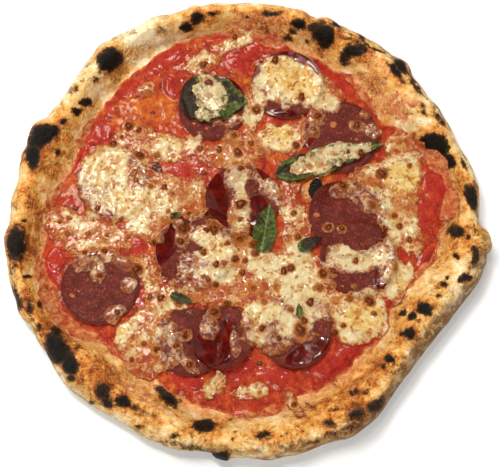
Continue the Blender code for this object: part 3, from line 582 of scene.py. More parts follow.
# The rim's profile swept round, pushed out along its own normal by puffs, blisters and wrinkles.
# Char, toast and smears are worked out where the eye sees each point.
def buildDough():
    sides = dough["sides"]
    bearing = np.arange(sides) / sides * tau
    radius, height, share = rimProfile(bearing)
    out, up = np.gradient(radius, axis=0), np.gradient(height, axis=0)
    size = np.maximum(np.hypot(out, up), 1e-6)
    x, y = radius * np.cos(bearing), radius * np.sin(bearing)
    puffSize = dough["puffSize"]
    rise = dough["puff"] * (lumps(x, y, puffSize, 11) + 0.5 * lumps(x, y, puffSize / 2, 12))
    caps = np.zeros(x.shape)
    for middleX, middleY, length, width, turn, tall in dough["rimBlisters"]:
        inside = ovalReach(x, y, (middleX, middleY, length / 2 + 2.0, width / 2 + 2.0, turn))
        part = np.clip(inside / (width / 2), 0.0, 1.0)
        caps = np.maximum(caps, tall * part * (2.0 - part))
    rise = rise + caps
    # Fine wrinkles run round the side; smaller ones lie all over.
    arc = np.broadcast_to(bearing * dough["meanRadius"], x.shape)
    level = height + 0.4 * radius
    wrinkle = rough(arc / 2.5, level, 5.0, 41) * dough["crinkle"]
    wrinkle = wrinkle + 0.5 * dough["crinkle"] * rough(x, y, 3.0, 45)
    wrinkle = wrinkle + dough["knobs"] * (rough(x, y, 9.0, 47) + 0.3 * np.abs(lumps(x, y, 5.0, 49)))
    rise = (rise + wrinkle) * share[:, None]
    radius, height = radius + rise * up / size, height - rise * out / size
    x, y = radius * np.cos(bearing), radius * np.sin(bearing)

    seenX, seenY = seenFrom(x, y, height)
    wobbleX = seenX + dough["scorchWobble"] * rough(seenX, seenY, 6.0, 51)
    wobbleY = seenY + dough["scorchWobble"] * rough(seenX, seenY, 6.0, 54)
    under = dough["underRings"]
    crest = under + dough["sideRings"]
    last = crest + dough["slopeRings"]
    outer = np.zeros(x.shape)
    outer[:under] = 1.0
    outer[under:crest] = np.linspace(1.0, 0.0, dough["sideRings"])[:, None] ** 0.7
    char = np.zeros(x.shape)
    near = np.zeros(x.shape)
    for middleX, middleY, length, width, turn, burnt in dough["charSpots"]:
        half = min(length, width) / 2
        margin = min(4.0, 0.5 * half + 1.0)
        inside = ovalReach(wobbleX, wobbleY, (middleX, middleY, length / 2, width / 2, turn))
        char = np.maximum(char, burnt * soften(0.6 + inside / (2.0 * margin)))
        near = np.maximum(near, burnt * np.exp(np.minimum(inside, 0.0) / (1.0 + half)))
    # Away from the near side the char stays on top; the outer wall there is only toasted.
    hidden = soften((outer - 0.45 + 0.2 * rough(x, height, 12.0, 59)) / 0.4) * soften(y / 50.0 + 1.4)
    char = char * (1.0 - 0.9 * hidden)
    inner = np.zeros(x.shape)
    inner[crest:last] = np.linspace(0.0, 1.0, dough["slopeRings"])[:, None]
    inner[last:] = 1.0
    toast = around(dough["crestToast"], bearing) * (1.0 - 0.85 * outer) * (1.0 - 0.3 * inner ** 2)
    toast = toast + 0.3 * rough(x, y, 22.0, 55) * (1.0 - outer)
    toast = toast + 0.3 * near + 0.06 * np.clip(caps, 0.0, 2.0)
    # A thin scorched line follows the outer edge.
    line = soften(1.0 - np.abs(outer - 0.4 - 0.15 * lumps(arc[0], 0.0 * bearing, 30.0, 58)) / 0.12)
    broken = soften(0.6 + 1.2 * rough(arc / 2.0, level, 7.0, 57))
    char = np.maximum(char, around(dough["edgeLine"], bearing) * line * broken)
    mottle = around(dough["sideMottle"], bearing) * soften(outer * 1.5)
    smear = ovalMask(seenX, seenY, dough["rimSmears"], 3.0) * soften((1.0 - outer) * 2.0)
    stain = soften((inner - 0.68) / 0.3) * (0.45 + 0.55 * soften(around(dough["crestToast"], bearing) / 0.3))
    below = np.zeros(x.shape)
    below[:under] = np.linspace(1.0, 0.0, under)[:, None]

    points = pointList(x, y, height)
    centreBelow, centreAbove = len(points), len(points) + 1
    points = np.concatenate([points, [(0.0, 0.0, 0.0), (0.0, 0.0, dough["baseThickness"])]])
    ringCount = x.shape[0]
    faces = [ringFaces(ringCount, sides), fanFaces(centreBelow, 0, sides, flip=True),
             fanFaces(centreAbove, (ringCount - 1) * sides, sides)]
    surface = doughField(radius, height)
    # Painted shade: points that lie below the blurred surface round them are darkened in the colour, as if shadowed;
    # the rim's outer side is left out.
    cavity = (1.0 - outer) * readGrid(hollowness(surface, 2.0), x, y) / 0.5
    # Each attribute's values over the rings, and at the two centres.
    parts = {"cavity": (cavity, (0.0, 0.0)), "char": (char, (0.0, 0.0)), "toast": (toast, (0.2, 0.3)),
             "mottle": (mottle, (0.5, 0.0)), "smear": (smear, (0.0, 0.0)), "stain": (stain, (0.0, 1.0)),
             "below": (below, (1.0, 0.0))}
    attributes = {key: np.concatenate([values.ravel(), ends]) for key, (values, ends) in parts.items()}
    makePiece("dough", points, faces, doughMaterial, attributes, ["dough"])
    return surface


def makeDoughMaterial():
    material, inputs, point, read = newMaterial("bakedDough", {
        "Specular IOR Level": 0.2, "Subsurface Weight": 0.05, "Subsurface Scale": 0.002})
    mottle = read("mottle")
    wide, middle, fine = noise(point, 15.0, 4.0), noise(point, 5.0, 5.0, 0.65), noise(point, 1.7, 5.0, 0.7)
    toasted = addNoise(addNoise(addNoise(read("toast"), wide, 1.1), middle, 1.5), fine, 0.7)
    base = ramp(toasted, (0.0, "ffeec8"), (0.22, "f2cc90"), (0.42, "eeb866"), (0.6, "e09440"), (0.8, "b05a22"),
                (1.0, "6f3815"))
    flour = ease(noise(point, 4.0, 5.0, 0.7), 0.47, 0.66)
    base = laid(base, flour, times(mottle, 0.6), "ecd9b8")
    stretched = addNode("Mapping", {"Vector": point, "Scale": (1.0, 1.0, 2.0)}).outputs["Vector"]
    leopard = ease(plus(noise(stretched, 7.5, 4.0, 0.6, 0.6), times(mottle, 0.14)), 0.52, 0.72)
    base = laid(base, times(leopard, ease(mottle, 0.0, 0.6)), 0.85, "70502f")
    base = laid(base, ease(addNoise(mottle, wide, 0.8), 0.5, 1.0), 0.62, "7a4f2b")
    bottomSpots = ease(noise(point, 13.0, 4.0, 0.6), 0.52, 0.66)
    base = laid(base, times(bottomSpots, read("below")), 0.85, "3f2a1a")
    stained = ease(breakUp(read("stain"), 5.0, 0.9), 0.3, 0.9)
    base = laid(base, stained, 0.8, mixColour(ease(middle, 0.4, 0.7), "e2ab74", "d07a48"))
    smear = ease(breakUp(read("smear"), 4.5, 2.6), 0.3, 0.65)
    base = laid(base, smear, 0.85, mixColour(ease(middle, 0.42, 0.6), "c65a2c", "efb478"))
    # Cracks of the skin run along the contours of a bent noise.
    crack = times(ease(awayFrom(noise(point, 9.0, 3.0, 0.6, 1.4), 0.5), 0.022, 0.0), ease(wide, 0.42, 0.58))
    base = laid(base, crack, 0.65, "824a1e")
    wrinkle = ease(awayFrom(noise(point, 5.5, 4.0, 0.6, 2.0), 0.5), 0.035, 0.0)
    base = laid(base, times(wrinkle, ease(toasted, 0.25, 0.6)), 0.55, "a3571f")
    specks = ease(addNoise(voronoi(point, 3.0), fine, 0.4), 0.3, 0.16)
    speckShare = plus(0.08, ease(addNoise(toasted, wide, 1.6), 0.3, 0.8))
    base = laid(base, times(specks, speckShare), 0.9, "643214")
    grain = ease(noise(point, 1.2, 4.0, 0.75), 0.52, 0.66)
    base = laid(base, grain, plus(0.04, times(toasted, 0.4)), "a05a22")
    base = laid(base, ease(noise(point, 2.6, 4.0, 0.7), 0.54, 0.7), 0.5, "f6d9a4")
    # Painted shade: a darker brown laid in the hollows.
    base = laid(base, ease(read("cavity"), 0.15, 1.0), 0.3, "9c5c2a")
    charred = breakUp(breakUp(read("char"), 5.0, 0.9), 1.4, 0.8)
    burnt = ramp(charred, (0.15, "93592c"), (0.4, "6a4020"), (0.6, "3f2815"), (0.82, "140e09"), (1.0, "0a0805"))
    crust = ease(addNoise(noise(point, 3.4, 5.0, 0.7, 0.8), fine, 0.4), 0.5, 0.72)
    burnt = laid(burnt, crust, 0.3, "3f2e1d")
    plug(mixColour(ease(charred, 0.2, 0.6), base, burnt), inputs["Base Color"])
    roughness = minus(minus(0.66, times(smear, 0.28)), times(read("stain"), 0.2))
    plug(minus(roughness, times(ease(charred, 0.6, 1.0), 0.05)), inputs["Roughness"])
    relief = plus(noise(point, 2.4, 6.0, 0.68), times(middle, 1.4))
    plug(bump(minus(relief, times(crack, 0.35)), 0.95, 1.2), inputs["Normal"])
    return material


doughMaterial = makeDoughMaterial()
field = buildDough()


# The bubble of the base: a dome whose radius wobbles by two sines, scorched on top.
def buildBubble():
    middleX, middleY, radius, rise = dough["bubble"]
    sides, rings = 48, 16
    turns = np.arange(sides) / sides * tau
    wobble = 1.0 + 0.07 * np.sin(2.0 * turns + 0.6) + 0.04 * np.sin(5.0 * turns)
    climb = np.concatenate([[0.0], np.linspace(0.0, math.pi / 2, rings, endpoint=False)])
    level = dough["baseThickness"] - 0.2 + rise * np.sin(climb)
    level[0] = 2.0
    x = middleX + radius * np.cos(climb)[:, None] * wobble * np.cos(turns)
    y = middleY + radius * np.cos(climb)[:, None] * wobble * np.sin(turns)
    z = level[:, None] + 0.25 * rough(x, y, 4.0, 48) * np.sin(climb)[:, None]
    points = np.concatenate([pointList(x, y, z),
                             [(middleX, middleY, 2.0), (middleX, middleY, level[-1] + 0.1)]])
    count = (rings + 1) * sides
    faces = [ringFaces(rings + 1, sides), fanFaces(count, 0, sides, flip=True),
             fanFaces(count + 1, rings * sides, sides)]
    seenX, seenY = seenFrom(points[:, 0], points[:, 1], points[:, 2])
    char = soften(0.55 + ovalReach(seenX, seenY, dough["bubbleChar"]) / 2.2)
    flat = np.zeros(len(points))
    attributes = {"cavity": flat, "char": char, "toast": flat + 0.85, "mottle": flat, "smear": flat + 0.45,
                  "stain": flat + 0.6, "below": flat}
    makePiece("dough_bubble", points, faces, doughMaterial, attributes, ())


buildBubble()
bubbleX, bubbleY, bubbleRadius, bubbleRise = dough["bubble"]
bubbleShare = np.clip(np.hypot(gridX - bubbleX, gridY - bubbleY) / bubbleRadius, 0.0, 1.0)
bubbleDome = dough["baseThickness"] + bubbleRise * np.sqrt(1.0 - bubbleShare ** 2)
bubbleField = np.where(bubbleShare < 1.0, bubbleDome, 0.0)


sauce = {
    "thickness": 1.1,
    "lump": 0.5,
    "lumpSize": 15.0,
    "wander": 1.2,            # how far its edge falls short of the foot
    "lobes": 8.5,             # how far its lobes reach over the foot
    "meanRadius": 125.0,
    "edge": 0.12,             # thickness at the very edge
    "sunk": 0.5,              # how far it lies in the base
    "sides": 620,
    "rings": 124,
    # pieces of tomato: x, y, half length, half width, turn, height
    "tomatoPieces": (
        (-99, 60, 12, 8, 35, 1.2), (-82, 92, 9, 8, 60, 1.3), (-93, 77, 8, 4, -60, 0.9),
        (-56, 115, 15, 8, 35, 1.2), (-51, 92, 9, 5, -70, 1.1), (-113, 40, 11, 4, 65, 1.1),
        (-24, 132, 12, 6, 5, 0.8), (-7, 112, 12, 8, -60, 1), (3, 125, 6, 12, 0, 0.7), (57, 99, 18, 6, -48, 1.1),
        (116, 45, 6, 3, 80, 0.9), (123, 24, 14, 8, 85, 1.2), (116, 5, 10, 6, 70, 0.9), (110, -14, 12, 5, 75, 1),
        (100, -24, 8, 4, -70, 0.9), (113, -28, 12, 4, 60, 1), (94, -52, 9, 5, 50, 1), (68, -86, 14, 5, 12, 1.1),
        (50, -95, 13, 8, -10, 1.2), (-5, -97, 11, 7, 20, 1.1), (20, -102, 12, 6, -10, 1),
        (-58, -92, 10, 5, -20, 0.9), (-38, -104, 12, 6, -25, 1.1), (-73, -19, 9, 4, 5, 0.8),
        (-124, -28, 6, 10, 0, 1), (-122, -38, 5, 7, 20, 0.9), (-118, 8, 5, 8, 0, 0.7), (-45, 34, 11, 4, -10, 0.8),
        (22, 72, 8, 4, 5, 0.8), (-28, 42, 7, 3, -15, 0.7), (30, 12, 6, 6, 0, 0.6), (-28, 100, 6, 5, 0, 0.5),
    ),
    # where oil and little sauce show orange: x, y, half length, half width, turn, strength
    "oilyPlaces": (
        (-70, 76, 26, 13, 15, 1), (-57, 74, 10, 8, 0, 1), (-5, 100, 9, 5, -30, 1), (-35, 128, 16, 6, 15, 0.7),
        (-115, 22, 8, 9, 0, 1), (-128, 30, 5, 8, 0, 0.8), (-112, -14, 12, 6, 0, 0.6), (-60, -25, 6, 12, 20, 1),
        (-64, -36, 8, 6, 0, 0.8), (120, 14, 5, 12, 10, 0.5), (35, 25, 10, 9, 0, 0.9), (48, 30, 12, 5, 0, 1),
        (-74, -98, 9, 6, -20, 0.9), (-10, 50, 14, 8, 0, 0.6), (18, 45, 12, 8, 0, 0.7), (30, -105, 14, 6, 0, 0.4),
    ),
    # where the oil is dark
    "darkOil": (
        (-62, 35, 8, 5, -55, 1), (-55, 22, 6, 3, -30, 0.5), (-35, -46, 16, 3, 5, 0.8),
    ),
}
print("sauce")


# Thickness: lumps, a fine relief, and soft plateaus where the pieces of tomato are.
def sauceLevel(x, y):
    lump = sauce["lump"] * lumps(x, y, sauce["lumpSize"], 21)
    relief = 0.28 * rough(x, y, 5.0, 22) + 0.12 * rough(x, y, 2.4, 26)
    chunk = np.zeros(np.shape(x))
    bentX, bentY = x + 1.6 * lumps(x, y, 6.0, 28), y + 1.6 * lumps(x, y, 6.0, 29)
    for piece in sauce["tomatoPieces"]:
        chunk = np.maximum(chunk, piece[5] * soften(0.3 + ovalReach(bentX, bentY, piece) / 2.2))
    return sauce["thickness"] + lump + relief + 0.75 * chunk, chunk


# Rings that close up towards the edge: share^0.78 of a radius that wanders by a sine and by lobes.
def buildSauce():
    sides, rings = sauce["sides"], sauce["rings"]
    turns = np.arange(sides) / sides * tau
    edge = around(dough["foot"], turns) - sauce["wander"] * (0.5 + 0.5 * np.sin(7.0 * turns))
    edge = edge + sauce["lobes"] * (0.2 + rough(turns * sauce["meanRadius"], 0.0 * turns, 27.0, 23, 4))
    share = np.linspace(0.0, 1.0, rings + 1)[1:] ** 0.78
    x = share[:, None] * edge * np.cos(turns)
    y = share[:, None] * edge * np.sin(turns)
    ground = readGrid(field, x, y)
    thick, chunk = sauceLevel(x, y)
    inward = (1.0 - share)[:, None] * edge
    top = ground + sauce["edge"] + (thick - sauce["edge"]) * soften(inward / 8.0) ** 0.7
    hollow = soften((bubbleRadius + 2.0 - np.hypot(x - bubbleX, y - bubbleY)) / 3.0)
    top = top - 1.0 * hollow
    points = pointList(x, y, top)
    count = len(points)
    rim = points[-sides:].copy()
    rim[:, 2] = ground[-1] - 0.3
    floorLevel = dough["baseThickness"] - sauce["sunk"]
    floorRing = rim * (0.9, 0.9, 0.0) + (0.0, 0.0, floorLevel)
    points = np.concatenate([points, rim, floorRing, [(0.0, 0.0, top[0].mean()), (0.0, 0.0, floorLevel)]])
    centreAbove = count + 2 * sides
    faces = [ringFaces(rings + 2, sides, flip=True), fanFaces(centreAbove, 0, sides),
             fanFaces(centreAbove + 1, count + sides, sides, flip=True)]
    planX, planY = points[:, 0], points[:, 1]
    chunkAll = np.concatenate([chunk.ravel(), chunk[-1], np.zeros(sides + 2)])
    edgeShare = np.concatenate([(1.0 - soften(inward / 5.0)).ravel(), np.ones(2 * sides), [0.0, 0.0]])
    # Painted shade for the sauce's hollows, fading out towards its edge.
    cavity = np.zeros(len(points))
    cavity[:count] = (readGrid(sauceHollow, x, y) / 0.4 * soften(inward / 6.0)).ravel()
    attributes = {"cavity": cavity, "chunk": soften(chunkAll), "rimward": edgeShare,
                  "oily": ovalMask(planX, planY, sauce["oilyPlaces"], 5.0),
                  "darkOil": ovalMask(planX, planY, sauce["darkOil"], 1.8)}
    makePiece("tomato_sauce", points, faces, makeSauceMaterial(), attributes, ["tomato_sauce"])


def makeSauceMaterial():
    material, inputs, point, read = newMaterial("tomatoSauce", {
        "Specular IOR Level": 0.2, "Coat Weight": 0.2, "Coat Roughness": 0.1, "Subsurface Weight": 0.05,
        "Subsurface Scale": 0.0015})
    wide, middle, fine = noise(point, 13.0), noise(point, 5.0, 5.0, 0.62, 0.4), noise(point, 1.5, 5.0, 0.65)
    shade = addNoise(addNoise(middle, fine, 0.5), wide, 0.5)
    loose = ramp(shade, (0.26, "6d1205"), (0.42, "93220b"), (0.56, "ab3612"), (0.72, "bf521c"), (0.88, "d68f48"))
    firm = ramp(shade, (0.2, "7c1208"), (0.45, "9c1e10"), (0.65, "ac2e18"), (0.88, "c4502c"))
    colour = mixColour(ease(breakUp(read("chunk"), 4.0, 0.4), 0.2, 0.6), loose, firm)
    gold = ramp(shade, (0.28, "8e3208"), (0.48, "b44e10"), (0.65, "c46a18"), (0.82, "d89840"))
    colour = laid(colour, ease(breakUp(read("oily"), 7.0, 1.3), 0.35, 0.9), 0.85, gold)
    pulp = ease(noise(point, 2.4, 4.0, 0.65, 0.8), 0.56, 0.68)
    colour = laid(colour, pulp, minus(0.45, times(read("chunk"), 0.35)), "dc8858")
    rimward = ease(breakUp(read("rimward"), 4.0, 0.9), 0.72, 1.12)
    colour = laid(colour, rimward, 0.8, mixColour(ease(middle, 0.38, 0.62), "c05c34", "d89a62"))
    colour = mixColour(ease(read("darkOil"), 0.3, 0.7), colour, "4d0f0a")
    # Painted shade: a dark red laid in the hollows.
    colour = laid(colour, ease(read("cavity"), 0.1, 1.0), 0.6, "63120a")
    plug(colour, inputs["Base Color"])
    plug(plus(0.3, times(middle, 0.3)), inputs["Roughness"])
    plug(bump(plus(noise(point, 2.2, 4.0, 0.6), times(middle, 1.5)), 0.95, 1.3), inputs["Normal"])
    return material


sauceInside = around(dough["foot"], np.arctan2(gridY, gridX) % tau) - np.hypot(gridX, gridY)
covered = field + np.where(sauceInside > 0.0, sauceLevel(gridX, gridY)[0], 0.0) * soften(sauceInside / 2.0)
sauceHollow = hollowness(covered, 1.6)
buildSauce()
field = np.maximum(covered, bubbleField)


salami = {
    "thickness": 1.4,
    "gap": 0.35,
    "curlPower": 3.0,
    "sides": 120,
    "rings": 26,
    "sharpAngle": 60,
    # x, y, radius, curl, bearing of the side that curls most
    "slices": (
        (-93.5, -45.0, 24.5, 1.8, 190.0), (70.0, -27.0, 23.5, 3.6, -15.0), (65.0, 1.0, 25.5, 1.2, 200.0),
        (62.0, 57.0, 25.0, 1.0, 80.0), (26.0, 94.0, 24.0, 2.6, 50.0), (-23.5, 78.0, 23.0, 1.2, 150.0),
        (-34.0, -21.5, 24.5, 3.6, 160.0), (-3.0, 12.5, 24.0, 4.6, 190.0), (-88.0, 24.0, 23.5, 0.8, 180.0),
        (-36.0, -80.0, 21.5, 1.4, 200.0), (-16.0, -77.0, 20.0, 4.8, 250.0), (30.0, -73.0, 23.5, 2.2, 270.0),
    ),
    # places that shine with oil: x, y, half length, half width, turn
    "wetPlaces": (
        (-19.5, 13, 19, 6.5, 97), (6, 34, 12, 7, -10), (6, 2, 8, 15, 0), (-51, -14, 19, 7, 68),
        (-37, -26, 5, 5, 0), (-20, -84, 14, 12, 0), (-12, -78, 6, 14, 0), (37, -87, 16, 6, 25),
        (84, -42, 5, 11, -5), (35, 111, 18, 5, -32), (4, 102, 4, 12, -20), (40, 58, 4, 8, 0), (22, 73, 12, 3, 0),
        (-12, 98, 10, 5, -40), (-4, -11, 8, 3, 0),
    ),
    # the larger pieces of fat
    "fatPieces": (
        (58.5, 76, 2.2, 1.8, 0), (57, 65.5, 2.1, 2.4, -30), (44.5, 2.5, 2.2, 1.6, 0), (-111, -51, 1.8, 1.2, -30),
        (-107, -48, 1, 0.7, 0), (60, -45, 1, 0.8, 0), (72, 55, 1.2, 0.8, 0), (-36, 66, 1.4, 1, 0),
        (-42, 75, 1.6, 1.2, 40),
    ),
}
print("salami")


# A slice's edge: its radius, wandering by two sines.
def sliceEdge(number, radius, turn):
    return radius * (1.0 + 0.015 * np.sin(2.0 * turn + number) + 0.01 * np.sin(3.0 * turn))


# The lift is curl * share^3 * (0.55 + 0.45 cos(turn - bearing)), and a frill of 0.1 curl * share^5 * sin(4 turn).
def sliceShape(number, sizes, x, y):
    middleX, middleY, radius, curl, bearing = sizes
    turn = np.arctan2(y - middleY, x - middleX)
    share = np.hypot(x - middleX, y - middleY) / sliceEdge(number, radius, turn)
    held = np.clip(share, 0.0, 1.1)
    lift = curl * held ** salami["curlPower"] * (0.55 + 0.45 * np.cos(turn - math.radians(bearing)))
    frill = 0.1 * curl * held ** 5 * np.sin(4.0 * turn + 1.7 * number)
    return share, lift + frill


# What a layer rests on: the heights within its reach, blurred, and nowhere below what is under it.
def layBase(floor, reach, soft):
    base = blurred(widened(floor, reach), soft)
    return np.maximum(base, blurred(widened(floor, 0.8), 0.5))


# Rings of the lifted disc above, the same rings turned over below, and the field with the slice on it.
def buildSlice(number, sizes, floor):
    middleX, middleY, radius = sizes[:3]
    base = layBase(floor, 1.6, 2.2)
    sides, rings = salami["sides"], salami["rings"]
    turns = np.arange(sides) / sides * tau
    parts = np.concatenate([np.linspace(0.0, 0.93, rings - 4)[1:], (0.955, 0.975, 0.99, 1.0)])
    edge = sliceEdge(number, radius, turns)
    x = middleX + parts[:, None] * edge * np.cos(turns)
    y = middleY + parts[:, None] * edge * np.sin(turns)
    share, lift = sliceShape(number, sizes, x, y)
    bottom = readGrid(base, x, y) + salami["gap"] + lift
    crown = salami["thickness"] - 0.35 * soften((share - 0.93) / 0.07)
    top = bottom + crown + 0.08 * rough(x, y, 3.0, 60 + number)
    count = x.size
    centreZ = float(readGrid(base, np.array([middleX]), np.array([middleY]))[0]) + salami["gap"]
    points = np.concatenate([pointList(x, y, top),
                             pointList(x[::-1], y[::-1], bottom[::-1]),
                             [(middleX, middleY, centreZ + salami["thickness"]), (middleX, middleY, centreZ)]])
    ringCount = 2 * x.shape[0]
    faces = [ringFaces(ringCount, sides, flip=True), fanFaces(2 * count, 0, sides),
             fanFaces(2 * count + 1, (ringCount - 1) * sides, sides, flip=True)]
    planX, planY = points[:, 0], points[:, 1]
    shareAll = np.concatenate([share.ravel(), share[::-1].ravel(), [0.0, 0.0]])
    attributes = {"edge": shareAll, "wet": ovalMask(planX, planY, salami["wetPlaces"], 2.0),
                  "fat": ovalMask(planX, planY, salami["fatPieces"], 0.6)}
    name = f"salami_{number:02d}"
    makePiece(name, points, faces, salamiMaterial, attributes, [name], salami["sharpAngle"])
    gridShare, gridLift = sliceShape(number, sizes, gridX, gridY)
    surface = base + salami["gap"] + gridLift + salami["thickness"]
    inside = gridShare <= 1.0
    return np.where(inside, np.maximum(floor, surface), floor), inside


def makeSalamiMaterial():
    material, inputs, point, read = newMaterial("salami", {"Specular IOR Level": 0.12, "Coat Roughness": 0.04})
    middle, fine = noise(point, 5.0, 5.0, 0.65), noise(point, 1.1, 4.0, 0.7)
    shade = addNoise(middle, fine, 0.8)
    colour = ramp(shade, (0.2, "390f0d"), (0.4, "511814"), (0.56, "61201a"), (0.72, "722d24"), (0.88, "934b31"))
    colour = laid(colour, ease(noise(point, 1.6, 3.0, 0.6, 1.2), 0.6, 0.67), 0.55, "ab6a42")
    fat = mixColour(ease(fine, 0.35, 0.65), "8e4a2c", "b3703e")
    colour = mixColour(ease(breakUp(read("fat"), 2.5, 0.5), 0.35, 0.7), colour, fat)
    edge = read("edge")
    colour = laid(colour, ease(addNoise(edge, middle, 0.06), 0.9, 0.98), 0.65, "44100c")
    # Painted highlight: a thin lighter line along the very edge of the slice.
    colour = laid(colour, ease(edge, 0.985, 0.998), 0.5, "94422d")
    wet = ease(breakUp(read("wet"), 5.0, 0.6), 0.3, 0.75)
    colour = laid(colour, wet, 0.9, mixColour(ease(middle, 0.4, 0.65), "3c0402", "640b05"))
    plug(colour, inputs["Base Color"])
    plug(minus(0.56, times(wet, 0.4)), inputs["Roughness"])
    plug(times(wet, 0.4), inputs["Coat Weight"])
    relief = plus(times(fine, 0.5), noise(point, 2.6, 3.0))
    ripple = times(noise(point, 9.0, 1.0, 0.3, 0.5), times(wet, 4.0))
    relief = plus(times(relief, minus(1.0, times(wet, 0.7))), ripple)
    plug(bump(relief, 0.32, 0.6), inputs["Normal"])
    return material


salamiMaterial = makeSalamiMaterial()
salamiBelow = np.zeros(gridX.shape)
for number, sizes in enumerate(salami["slices"], start=1):
    field, inside = buildSlice(number, sizes, field)
    salamiBelow[inside] = 1.0


